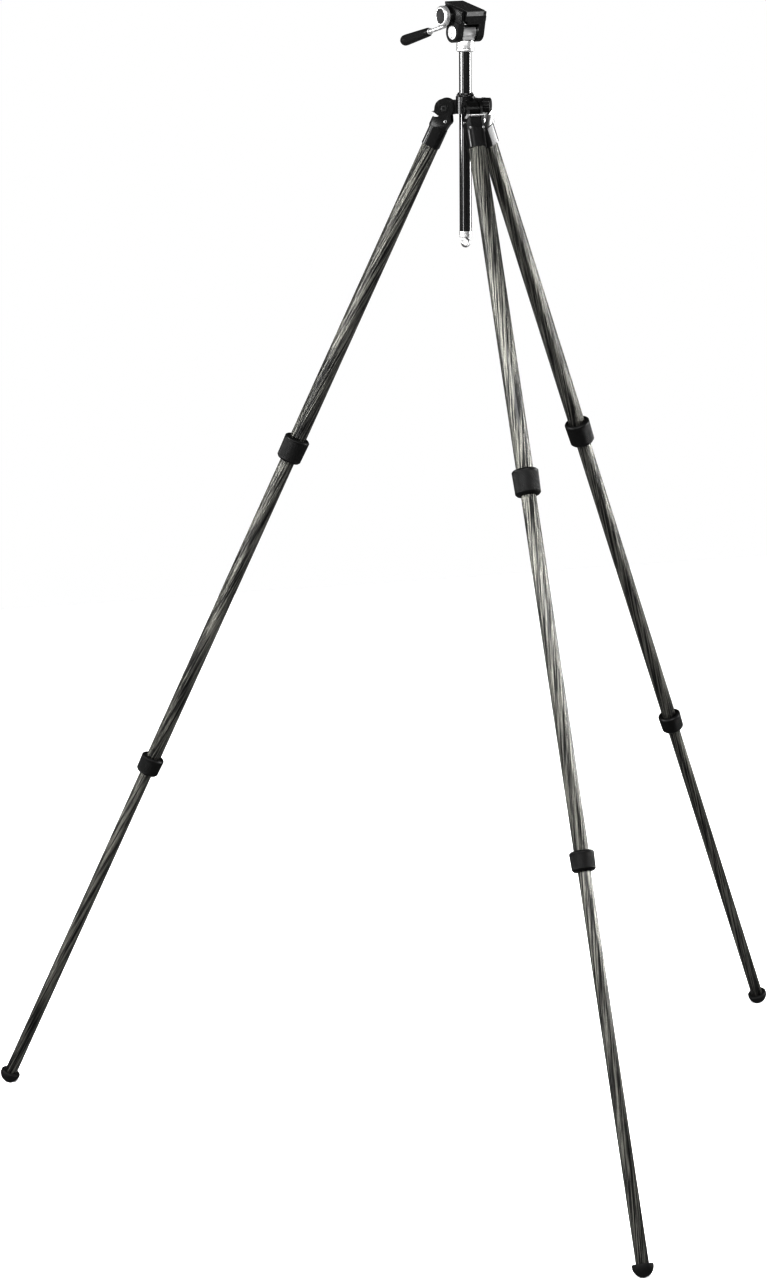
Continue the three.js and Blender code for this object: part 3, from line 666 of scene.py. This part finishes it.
def leg(side, shapes):
    matrix = leg_placement(side)
    body = f"{side}_leg"
    bracket(side, shapes, matrix)
    upper, middle, lower = TUBE_RADII
    upper_end, middle_end = (-lock["at"] - TUBE_END_IN_LOCK for lock in (UPPER_LOCK, LOWER_LOCK))
    middle_top = -UPPER_LOCK["at"] - UPPER_LOCK["length"] / 2 + TUBE_OVERLAP
    lower_top = -LOWER_LOCK["at"] - LOWER_LOCK["length"] / 2 + TUBE_OVERLAP
    carbon_tube(f"{side}_carbon_upper", upper, upper_end, -SLEEVE_TOP - 3.4, matrix, body,
                f"{side}_upper_tube")
    carbon_tube(f"{side}_carbon_middle", middle, middle_end, middle_top, matrix, f"{side}_middle",
                f"{side}_middle_tube")
    carbon_tube(f"{side}_carbon_lower", lower, -FOOT_AT - 5.7, lower_top, matrix, f"{side}_lower",
                f"{side}_lower_tube")
    twist_lock(side, "upper", UPPER_LOCK, upper, middle, matrix, body, f"{side}_upper_lock")
    twist_lock(side, "lower", LOWER_LOCK, middle, lower, matrix, f"{side}_middle", f"{side}_lower_lock")
    ankle = matrix @ shift(y=-AXIS_INSET, z=-FOOT_AT)
    piece(f"{side}_rubber_foot", shapes["foot"], ankle, FOOT, f"{side}_lower",
          [f"{side}_foot"])


# --- The hub and the centre column ----------------------------------------------------------------------

def hub_shape():
    """A sleeve for the column with three lugs, whose rims have a notch for each leg angle, and a boss for
    the knob that clamps the column."""
    bore = COLUMN_RADIUS + 1.7
    outline = [(bore + 1, HUB_BOTTOM), (PIVOT_RADIUS - 8, HUB_BOTTOM - 0.2)]
    outline += arc(PIVOT_RADIUS, 0, LUG_RADIUS, -135, 90, 54) + [(bore + 1, LUG_RADIUS)]
    boss_turn = turn(COLUMN_KNOB["azimuth"] - 90, "Z")
    boss = extruded_along_y([(-6, -4), (6, -4), (6, 14.5), (-6, 14.5)], 12, COLUMN_KNOB["inner"] - 0.6)
    lugs = [moved(boss, boss_turn)]
    cuts = [rod(bore, HUB_BOTTOM - 1, HUB_TOP + 1), moved(rod(SCREW_HOLE, 5, 40, 32), COLUMN_KNOB_AXIS)]
    for degrees in LUG_BEARINGS:
        spin = turn(degrees, "Z")
        lugs.append(moved(extruded(outline, -LUG_HALF_WIDTH, LUG_HALF_WIDTH), spin))
        for notch in NOTCH_ANGLES:
            tooth = block((-20, 20), (LUG_RADIUS - 1.6, LUG_RADIUS + 2), (-1, 1))
            cuts.append(moved(tooth, turn(notch, "X"), shift(y=PIVOT_RADIUS), spin))
    return carved(rod(HUB_RADIUS, HUB_BOTTOM, HUB_TOP), lugs, cuts)


def flutes(radius, count, depth):
    """Shallow hollows round an outer side."""
    def relief(angle, reach, height):
        return -depth * (0.5 - 0.5 * math.cos(angle * count)) if reach > radius - 0.1 else 0.0
    return relief


def swept(path, radii, count=20):
    """A round bar along a path in the plane of X and Z, with its own radius at each point."""
    last = len(path) - 1
    side = Vector((0, 1, 0))
    points = []
    for i, (at, radius) in enumerate(zip(path, radii)):
        way = (path[min(i + 1, last)] - path[max(i - 1, 0)]).normalized()
        other = way.cross(side)
        for k in range(count):
            a = 2 * math.pi * k / count
            points.append(at + (side * math.cos(a) + other * math.sin(a)) * radius)
    faces = [[i * count + k, i * count + (k + 1) % count, (i + 1) * count + (k + 1) % count,
              (i + 1) * count + k] for i in range(last) for k in range(count)]
    return points, faces + [list(range(count)), list(range(last * count, (last + 1) * count))]


def hook_shape():
    """The weight hook: a round wire that drops from the plug and runs round to leave a gap."""
    centre = COLUMN_BOTTOM - GAP - PLUG_DROP - HOOK_RADIUS - HOOK_WIRE_RADIUS - 1

    def rim(degrees):
        a = math.radians(degrees)
        return Vector((HOOK_RADIUS * math.cos(a), 0, centre + HOOK_RADIUS * math.sin(a)))

    top = Vector((0, 0, COLUMN_BOTTOM - GAP + 8))
    bend_start = Vector((0, 0, centre + HOOK_RADIUS + 1.6))
    bend = Vector((0, 0, centre + HOOK_RADIUS * math.sqrt(2)))
    path = [top, bend_start]
    for k in range(1, 9):
        t = k / 8
        path.append(bend_start * (1 - t) ** 2 + bend * 2 * t * (1 - t) + rim(45) * t ** 2)
    path += [rim(45 - HOOK_SWEEP * k / 48) for k in range(1, 49)]
    radii = [HOOK_WIRE_RADIUS] * len(path)
    tip, way = path[-1], (path[-1] - path[-2]).normalized()
    for k in range(1, 6):
        a = math.radians(18 * k)
        path.append(tip + way * HOOK_WIRE_RADIUS * math.sin(a))
        radii.append(max(0.05, HOOK_WIRE_RADIUS * math.cos(a)))
    return swept(path, radii)


def hub():
    """The hub with its guide bush, the toothed collar on it and the knob that clamps the column."""
    piece("hub_casting", hub_shape(), COLUMN, CASTING, "hub", ["hub"], bevel=0.6)
    bush = tube(COLUMN_RADIUS + 0.1, COLUMN_RADIUS + 1.3, HUB_BOTTOM + 0.5, HUB_TOP - 0.5)
    piece("column_guide", bush, COLUMN, COLLET, "hub", ["column_bush"])
    bore = COLUMN_RADIUS + 0.2
    collar = turned(eased([
        (bore, HUB_TOP + GAP), (HUB_RADIUS - 0.8, HUB_TOP + GAP), (HUB_RADIUS - 0.8, HUB_TOP + 2.4),
        (HUB_RADIUS - 1.8, HUB_TOP + 3.2), (11.4, HUB_TOP + 3.4), (11.2, COLLAR_TOP), (bore, COLLAR_TOP),
    ], 0.5), 180, flutes(HUB_RADIUS - 0.8, 45, 0.5))
    piece("collar_ring", collar, COLUMN, CASTING, "hub", ["column_collar"])
    radius, inner, outer = COLUMN_KNOB["radius"], COLUMN_KNOB["inner"], COLUMN_KNOB["outer"]
    screw_end = COLUMN_RADIUS + 1.8
    side = rows((radius, inner + 1), (radius, outer - 1.5), 6)
    knob = eased([(0, screw_end), (SCREW_RADIUS, screw_end), (SCREW_RADIUS, inner), (radius - 1, inner)],
                 0.3, closed=False)
    knob += side + eased([side[-1], (radius - 1.5, outer), (0, outer)], 0.8, 4, closed=False)[1:]
    piece("column_lock_knob", turned(knob, 144, flutes(radius, 18, 0.7)), COLUMN @ COLUMN_KNOB_AXIS, GRIP,
          "column_knob", ["column_knob"])


def column():
    """The centre column with its grooved end plug and the hook that swivels in it."""
    inner = COLUMN_RADIUS - COLUMN_WALL
    drawn = tube(inner, COLUMN_RADIUS, COLUMN_BOTTOM + PLUG_RISE, COLUMN_TOP, 128)
    piece("gloss_column", drawn, COLUMN, GLOSS, "column", ["column"])
    plug_top = COLUMN_BOTTOM + PLUG_RISE - GAP
    plug_bottom = COLUMN_BOTTOM - GAP - PLUG_DROP
    plug_radius = COLUMN_RADIUS + 0.4
    plug = turned(eased([
        (2, plug_bottom), (plug_radius - 0.8, plug_bottom), (plug_radius, plug_bottom + 0.8),
        (plug_radius, plug_bottom + 4.0), (plug_radius - 0.5, plug_bottom + 4.3),
        (plug_radius - 0.5, plug_bottom + 4.9), (plug_radius, plug_bottom + 5.2),
        (plug_radius, plug_top), (inner - GAP, plug_top), (inner - GAP, plug_top + 10), (2, plug_top + 10),
    ], 0.25))
    piece("column_plug", plug, COLUMN, BRIGHT, "column", ["hook_plug"])
    piece("wire_hook", hook_shape(), COLUMN, POLISHED, "weight_hook", ["weight_hook"])


def head_base():
    """The flange in the column's top that the head stands on, and the screw up into the head."""
    spigot, seat, top = COLUMN_RADIUS - COLUMN_WALL - GAP, COLUMN_TOP - 3.4, COLUMN_TOP + 4.6
    base = turned(eased([
        (SCREW_HOLE, seat), (spigot, seat), (spigot, COLUMN_TOP + GAP), (11.6, COLUMN_TOP + GAP),
        (13.2, COLUMN_TOP + 2), (13.2, top), (SCREW_HOLE, top),
    ], 0.35))
    piece("base_flange", base, COLUMN, BRIGHT, "column", ["head_base"])
    screw_profile = eased([(0, COLUMN_TOP - 8), (5.5, COLUMN_TOP - 8), (5.5, COLUMN_TOP - 3.7),
                           (SCREW_RADIUS, COLUMN_TOP - 3.7), (SCREW_RADIUS, COLUMN_TOP + 15),
                           (0, COLUMN_TOP + 15)], 0.3, closed=False)
    screw = carved(turned(screw_profile, 48), cuts=[hexagon(5.6, COLUMN_TOP - 9, COLUMN_TOP - 5.5)])
    piece("base_screw", screw, COLUMN, STEEL, "column", ["pan_screw"])


# --- The head -------------------------------------------------------------------------------------------

def pan_body():
    """The neck that turns on the base, and on it the barrel across, in which the fork tilts."""
    bottom, top = COLUMN_TOP + 4.9 - TILT_AXIS_HEIGHT, -12
    neck = turned(eased([(SCREW_HOLE, bottom), (NECK_RADIUS, bottom), (NECK_RADIUS, top),
                         (SCREW_HOLE, top)], 0.5), 128)
    piece("pan_neck", neck, PAN, BRIGHT, "pan_body", ["pan_body"])
    # Painted shade: a thin dark ring between the neck and the barrel's saddle. Its dark material stands in
    # for the shade in the groove where they meet.
    painted_shade_ring = turned(eased([(SCREW_HOLE, -12.1), (11.6, -12.1), (11.6, -11.2), (SCREW_HOLE, -11.2)], 0.2))
    piece("pan_shade_ring", painted_shade_ring, PAN, COLLET, "pan_body")
    saddle_outline = eased([(-9.4, -11.2), (9.4, -11.2), (8.2, -5), (-8.2, -5)], 0.6)
    barrel = tube(AXLE_HOLE, BARREL_RADIUS, -BARREL_HALF_LENGTH, BARREL_HALF_LENGTH, ease=0.8)
    saddle = moved(extruded(saddle_outline, -10.6, 10.6), turn(-90, "Y"))
    barrel = carved(barrel, [saddle], [rod(AXLE_HOLE, -40, 40)])
    piece("tilt_barrel", barrel, PAN @ SIDEWAYS, BRIGHT, "pan_body", ["pan_body"],
          bevel=0.3)
    lock_screw = moved(turned(eased([(0, 0), (2.3, 0), (2.3, 1.0), (1.4, 1.2), (1.2, 0.4), (0, 0.4)], 0.2,
                                    closed=False), 40), shift(z=BARREL_RADIUS - 0.5), turn(-24, "X"))
    piece("barrel_screw", moved(lock_screw, shift(x=7.0)), PAN, STEEL, "pan_body")


def fork_shape():
    """Two ears on the barrel's ends, the clamp's bed across them with its fixed rail, and a boss behind for
    the handle."""
    ear = arc(0, 0, EAR_RADIUS, 180, 360, 48)
    ear += [(EAR_RADIUS, BED_BOTTOM + 1), (-EAR_RADIUS, BED_BOTTOM + 1)]
    bridge = block((-EAR_OUTER, EAR_OUTER), (-20, EAR_RADIUS), (BRIDGE_BOTTOM, BED_BOTTOM + 1))
    bed = block((-19, EAR_OUTER), (-24, 22), (BED_BOTTOM, BED_TOP))
    face, top, tooth = -14.6, PLATE_TOP - 2.8, BED_TOP + RAIL_MIDDLE
    rail = extruded_along_y([
        (-19, BED_TOP - 1), (face, BED_TOP - 1), (face, tooth - RAIL_TOOTH), (face + RAIL_TOOTH, tooth),
        (face, tooth + RAIL_TOOTH), (face, top), (-19, top),
    ], -23, 21)
    lean = Matrix.Rotation(math.pi / 2 + HANDLE_DROOP, 4, "X")
    boss = moved(rod(6, -14, 4, 48), lean, shift(*HANDLE_BASE))
    adds = [extruded(ear, -EAR_OUTER, -EAR_INNER), bridge, bed, rail, boss]
    cuts = [
        block((18.2, 40), (-40, 40), (17.2, 60)),
        block((8.4, EAR_INNER), (-40, 40), (BRIDGE_BOTTOM - 4, 19.6)),
        moved(rod(3.3, -13, 6, 32), lean, shift(*HANDLE_BASE)),
        moved(rod(AXLE_HOLE, -40, 40, 48), SIDEWAYS),
        moved(rod(10.8, EAR_OUTER - 2.6, 40, 72), SIDEWAYS),
        moved(rod(7.5, -40, -EAR_OUTER + 3.2, 48), SIDEWAYS),
        moved(rod(SCREW_HOLE, -6, 40, 32), SIDEWAYS, KNOB_SHIFT),
        moved(rod(BARREL_RADIUS + 1.2, -EAR_INNER, EAR_INNER, 72), SIDEWAYS),
    ]
    return carved(extruded(ear, EAR_INNER, EAR_OUTER), adds, cuts)


def jaw_shape():
    """The moving side of the clamp, with a tooth that fits the plate's groove."""
    face, bottom, top, tooth = 18.6, 17.6, PLATE_TOP - 1.6, BED_TOP + RAIL_MIDDLE
    jaw = extruded_along_y([
        (face, bottom), (EAR_OUTER, bottom), (EAR_OUTER, top), (face, top), (face, tooth + RAIL_TOOTH),
        (face - RAIL_TOOTH, tooth), (face, tooth - RAIL_TOOTH),
    ], -23, 20)
    hole = moved(rod(SCREW_HOLE, 0, 40, 32), SIDEWAYS, KNOB_SHIFT)
    return carved(jaw, cuts=[hole])


def plate_shapes():
    """The release plate, with a groove along each side, and its ribbed pad."""
    middle, depth, reach = BED_TOP + RAIL_MIDDLE, 1.6, 1.7
    right, left = PLATE_CENTRE_X + PLATE_HALF_WIDTH, PLATE_CENTRE_X - PLATE_HALF_WIDTH
    plate = extruded_along_y([
        (left, PLATE_BOTTOM), (right, PLATE_BOTTOM), (right, middle - reach), (right - depth, middle),
        (right, middle + reach), (right, PLATE_TOP), (left, PLATE_TOP), (left, middle + reach),
        (left + depth, middle), (left, middle - reach),
    ], PLATE_REAR, PLATE_FRONT)
    at_screw = shift(PLATE_CENTRE_X, SCREW_Y)
    seat = block((left + 2, right - 2), (PLATE_REAR + 2, PLATE_FRONT - 2), (PLATE_TOP - 1, PLATE_TOP + 1))
    plate = carved(plate, cuts=[seat, moved(rod(3.6, 0, 60, 48), at_screw),
                                moved(rod(7, 0, PLATE_BOTTOM + 5.5, 48), at_screw)])
    pad = block((left + 2.3, right - 2.3), (PLATE_REAR + 2.3, PLATE_FRONT - 2.3),
                (PLATE_TOP - 0.9, PLATE_TOP - 0.1))
    ribs = [block((left + 3.2, right - 3.2), (y, y + 1.3), (PLATE_TOP - 0.5, PLATE_TOP + 0.3))
            for y in [PLATE_REAR + 3.4 + 2.35 * i for i in range(22)]]
    around_screw = moved(rod(6.4, PLATE_TOP - 0.5, PLATE_TOP + 0.3, 48), at_screw)
    pad = carved(pad, [around_screw, *ribs], [moved(rod(4.4, 0, 60, 48), at_screw)])
    return plate, pad


def fork():
    """The tilt fork, its axle and the slotted cap in its left ear."""
    piece("fork", fork_shape(), HEAD, CASTING, "tilt_head", ["tilt_fork"], bevel=0.45)
    axle = carved(turned(eased([(0, -23.8), (7, -23.8), (7, -21.1), (4, -21.1), (4, 21), (0, 21)], 0.35,
                               closed=False), 64), cuts=[hexagon(6, -25, -22)])
    piece("axle_bolt", axle, HEAD @ SIDEWAYS, STEEL, "tilt_head", ["tilt_axle"])
    cap = turned(eased([(0, EAR_OUTER - 2.2), (10.4, EAR_OUTER - 2.2), (10.4, EAR_OUTER - 0.5),
                        (9.9, EAR_OUTER), (0, EAR_OUTER)], 0.3, closed=False))
    coin_slot = block((-20, 20), (-0.8, 0.8), (EAR_OUTER - 1.2, EAR_OUTER + 1))
    piece("slotted_cap", carved(cap, cuts=[coin_slot]), HEAD @ SIDEWAYS, BRIGHT, "tilt_head",
          ["tilt_cap"])


def clamp():
    """The clamp's jaw, and the knob on its spindle that draws the jaw in."""
    piece("jaw", jaw_shape(), HEAD, CASTING, "clamp_jaw", ["clamp_jaw"], bevel=0.4)
    knob_frame = HEAD @ KNOB_SHIFT @ SIDEWAYS
    radius, inner, outer = KNOB["radius"], KNOB["inner"], KNOB["outer"]
    piece("clamp_spindle", rod(SCREW_RADIUS, -5, inner + 1, 48), knob_frame, STEEL, "clamp_knob",
          ["clamp_screw"])
    neck = EAR_OUTER + GAP
    side = rows((radius, inner + 0.8), (radius, outer - 2.2), 10)
    knob = eased([(SCREW_RADIUS, neck), (8, neck), (8, inner), (radius - 0.8, inner)], 0.4, closed=False)
    knob += side + eased([side[-1], (radius - 2.2, outer), (10.9, outer), (10.9, outer - 1.6),
                          (0, outer - 1.6)], 0.5, closed=False)[1:]
    knob += [(0, inner + 1 + GAP), (SCREW_RADIUS, inner + 1 + GAP)]
    piece("knob", turned(knob, 240, flutes(radius, 60, 0.16)), knob_frame, BRIGHT, "clamp_knob",
          ["clamp_knob"])
    disc = eased([(0, outer - 1.5), (10.6, outer - 1.5), (10.6, outer - 0.6), (9.6, outer - 0.2),
                  (8.6, outer - 0.2), (8.2, outer - 0.5), (0, outer - 0.5)], 0.3, closed=False)
    piece("knob_disc", turned(disc), knob_frame, INSERT, "clamp_knob")


def release_plate():
    """The plate in the clamp with its end panel and rubber pad, and the camera screw through it."""
    plate, pad = plate_shapes()
    piece("quick_plate", plate, HEAD, PLATE, "release_plate", ["release_plate"], bevel=0.4)
    end_x = (PLATE_CENTRE_X - PLATE_HALF_WIDTH + 2.2, PLATE_CENTRE_X + PLATE_HALF_WIDTH - 0.6)
    end = block(end_x, (PLATE_FRONT - 0.5, PLATE_FRONT + 0.25), (PLATE_BOTTOM + 0.7, PLATE_TOP - 1.6))
    piece("quick_plate_end", end, HEAD, PLATE_END, "release_plate", bevel=0.2)
    piece("quick_plate_pad", pad, HEAD, PAD, "release_plate", ["plate_pad"], bevel=0.15)
    low = PLATE_BOTTOM + 0.3
    screw = eased([(0, low), (6.4, low), (6.4, low + 1.5), (3.1, low + 1.5), (3.1, PLATE_TOP - 0.4),
                   (0, PLATE_TOP - 0.4)], 0.3, closed=False)
    slot = block((-10, 10), (-0.8, 0.8), (low - 2, low + 0.8))
    piece("camera_bolt", carved(turned(screw, 64), cuts=[slot]), HEAD @ shift(PLATE_CENTRE_X, SCREW_Y),
          STEEL, "camera_screw", ["camera_screw"])


def facets(angle, reach, height):
    """Ten long flats on the grip, which fade out at both ends."""
    low, high = GRIP_START + 4, GRIP_END - 7
    if not low < height < high or reach < 6:
        return 0.0
    fade = min(1.0, (height - low) / 6, (high - height) / 6)
    step = math.pi / 5
    flat = reach * math.cos(step / 2) / math.cos((angle % step) - step / 2)
    return (flat - reach) * fade


def handle():
    """The handle's rod, with a ring where the grip starts, and the grip."""
    ring, rod_end = GRIP_START - 3.6, GRIP_START + 50
    profile = eased([
        (0, -12.6), (HANDLE_RADIUS, -12.6), (HANDLE_RADIUS, ring), (4.8, ring), (4.8, GRIP_START - 0.4),
        (HANDLE_RADIUS, GRIP_START - 0.4), (HANDLE_RADIUS, rod_end), (0, rod_end),
    ], 0.4, closed=False)
    piece("handle_bar", turned(profile, 64), HANDLE, BRIGHT, "handle", ["handle_rod"])
    bore = HANDLE_RADIUS + 0.1
    grip = [(bore, GRIP_START)] + eased([(5.0, GRIP_START), (6.4, GRIP_START + 1.4),
                                         (6.6, GRIP_START + 4)], 0.6, closed=False)
    grip += rows((6.7, GRIP_START + 5), (8.2, GRIP_END - 8), 30)
    grip += eased([(8.2, GRIP_END - 7), (7.9, GRIP_END - 2), (5.8, GRIP_END + 2), (0, GRIP_END + 3)],
                  1.5, 6, closed=False)
    grip += [(0, rod_end + GAP), (bore, rod_end + GAP)]
    piece("grip", turned(grip, 160, facets), HANDLE, GRIP, "handle", ["handle_grip"])


leg_shapes = {
    "bracket": bracket_shape(),
    "bolt": socket_screw(4.4, CHEEK_HALF_WIDTH - 0.3, CHEEK_HALF_WIDTH + 0.9, 4.6),
    "screw": socket_screw(2.6, CHEEK_HALF_WIDTH - 0.3, CHEEK_HALF_WIDTH + 1.1, 2.4),
    "face_screw": socket_screw(1.7, -1, 0.9, 1.6),
    "tab": tab_shapes(),
    "foot": foot_shape(),
}
for side in SIDES:
    leg(side, leg_shapes)
hub()
column()
head_base()
pan_body()
fork()
clamp()
release_plate()
handle()


# --- The stage ------------------------------------------------------------------------------------------

SENSOR = 36.0
LENS = 112.583
VIEW_YAW, VIEW_PITCH, VIEW_ROLL = -1.22, -12.2, -0.42
VIEW_TURN = -18.9
VIEW_DISTANCE, VIEW_HEIGHT = 5.9417, 2.0353
LIGHT_AIM = 0.95
FLOOR_HALF = 4.0


def camera():
    """A camera with a long lens, a little above the head, that looks down on it from the front."""
    data = bpy.data.cameras.new("camera")
    made = bpy.data.objects.new("camera", data)
    bpy.context.scene.collection.objects.link(made)
    data.sensor_width = SENSOR
    data.lens = LENS
    yaw, pitch, roll = (math.radians(v) for v in (VIEW_YAW, VIEW_PITCH, VIEW_ROLL))
    forward = Vector((math.sin(yaw) * math.cos(pitch), math.cos(yaw) * math.cos(pitch), math.sin(pitch)))
    level = Vector((math.cos(yaw), -math.sin(yaw), 0))
    above = level.cross(forward)
    right = level * math.cos(roll) + above * math.sin(roll)
    up = above * math.cos(roll) - level * math.sin(roll)
    look = Matrix((right, up, -forward)).transposed().to_4x4()
    look.translation = (0, -VIEW_DISTANCE, VIEW_HEIGHT)
    made.matrix_world = Matrix.Translation((column_x, column_y, 0)) @ turn(VIEW_TURN, "Z") @ look
    bpy.context.scene.camera = made


def softbox(name, bearing, distance, height, size, power):
    """A rectangular light at a bearing about the column, in degrees to the right of the camera."""
    data = bpy.data.lights.new(name, "AREA")
    data.shape = "RECTANGLE"
    data.size, data.size_y = size
    data.energy = power
    made = bpy.data.objects.new(name, data)
    bpy.context.scene.collection.objects.link(made)
    a = math.radians(VIEW_TURN + VIEW_YAW - 90 + bearing)
    middle = Vector((column_x, column_y, height))
    made.location = middle + Vector((math.cos(a), math.sin(a), 0)) * distance
    aim = Vector((column_x, column_y, LIGHT_AIM)) - made.location
    made.rotation_euler = aim.to_track_quat("-Z", "Y").to_euler()


def sky():
    """A very soft light from overhead, which falls on the whole floor alike."""
    data = bpy.data.lights.new("sky", "SUN")
    data.energy = 3.1
    data.angle = math.radians(100)
    made = bpy.data.objects.new("sky", data)
    made.rotation_euler = (math.radians(8), math.radians(-6), 0)
    made.visible_glossy = False
    bpy.context.scene.collection.objects.link(made)


def floor():
    """A plain pale floor."""
    mesh = bpy.data.meshes.new("floor")
    corners = [(column_x + FLOOR_HALF * x, column_y + FLOOR_HALF * y, 0)
               for x, y in ((-1, -1), (1, -1), (1, 1), (-1, 1))]
    mesh.from_pydata(corners, [], [(0, 1, 2, 3)])
    material = bpy.data.materials.new("floor")
    material.use_nodes = True
    nodes, links = material.node_tree.nodes, material.node_tree.links
    shader = nodes["Principled BSDF"]
    shader.inputs["Roughness"].default_value = 0.9
    shader.inputs["Specular IOR Level"].default_value = 0.1
    mottle = nodes.new("ShaderNodeTexNoise")
    mottle.inputs["Scale"].default_value = 3.0
    tone = nodes.new("ShaderNodeMapRange")
    tone.inputs["To Min"].default_value = 0.9
    tone.inputs["To Max"].default_value = 0.94
    links.new(mottle.outputs["Fac"], tone.inputs["Value"])
    links.new(tone.outputs["Result"], shader.inputs["Base Color"])
    mesh.materials.append(material)
    made = bpy.data.objects.new("floor", mesh)
    bpy.context.scene.collection.objects.link(made)
    made.visible_glossy = False


def surroundings():
    """White where the camera looks past the floor, and a dimmer grey for what the object reflects."""
    world = bpy.data.worlds.new("studio")
    world.use_nodes = True
    nodes, links = world.node_tree.nodes, world.node_tree.links
    background = nodes["Background"]
    ray = nodes.new("ShaderNodeLightPath")
    parts = nodes.new("ShaderNodeSeparateXYZ")
    links.new(nodes.new("ShaderNodeTexCoord").outputs["Generated"], parts.inputs["Vector"])
    reflected = nodes.new("ShaderNodeMapRange")
    for socket, value in (("From Min", -0.05), ("From Max", -0.4), ("To Min", 0.14), ("To Max", 0.34)):
        reflected.inputs[socket].default_value = value
    links.new(parts.outputs["Z"], reflected.inputs["Value"])
    tone = nodes.new("ShaderNodeMix")
    links.new(ray.outputs["Is Camera Ray"], tone.inputs["Factor"])
    links.new(reflected.outputs["Result"], tone.inputs["A"])
    tone.inputs["B"].default_value = 1.0
    links.new(tone.outputs["Result"], background.inputs["Strength"])
    background.inputs["Color"].default_value = (1, 1, 1, 1)
    bpy.context.scene.world = world


camera()
floor()
surroundings()
softbox("left_strip", -44, 3.0, 1.4, (0.5, 2.4), 75)
softbox("key", 8, 2.9, 2.98, (2.6, 0.5), 240)
softbox("left_box", -82, 2.6, 1.75, (0.8, 1.1), 125)
softbox("right_box", 109, 2.8, 1.15, (0.6, 1.3), 160)
sky()
bpy.context.scene.view_settings.view_transform = "Standard"
bpy.context.scene.view_settings.gamma = 0.76
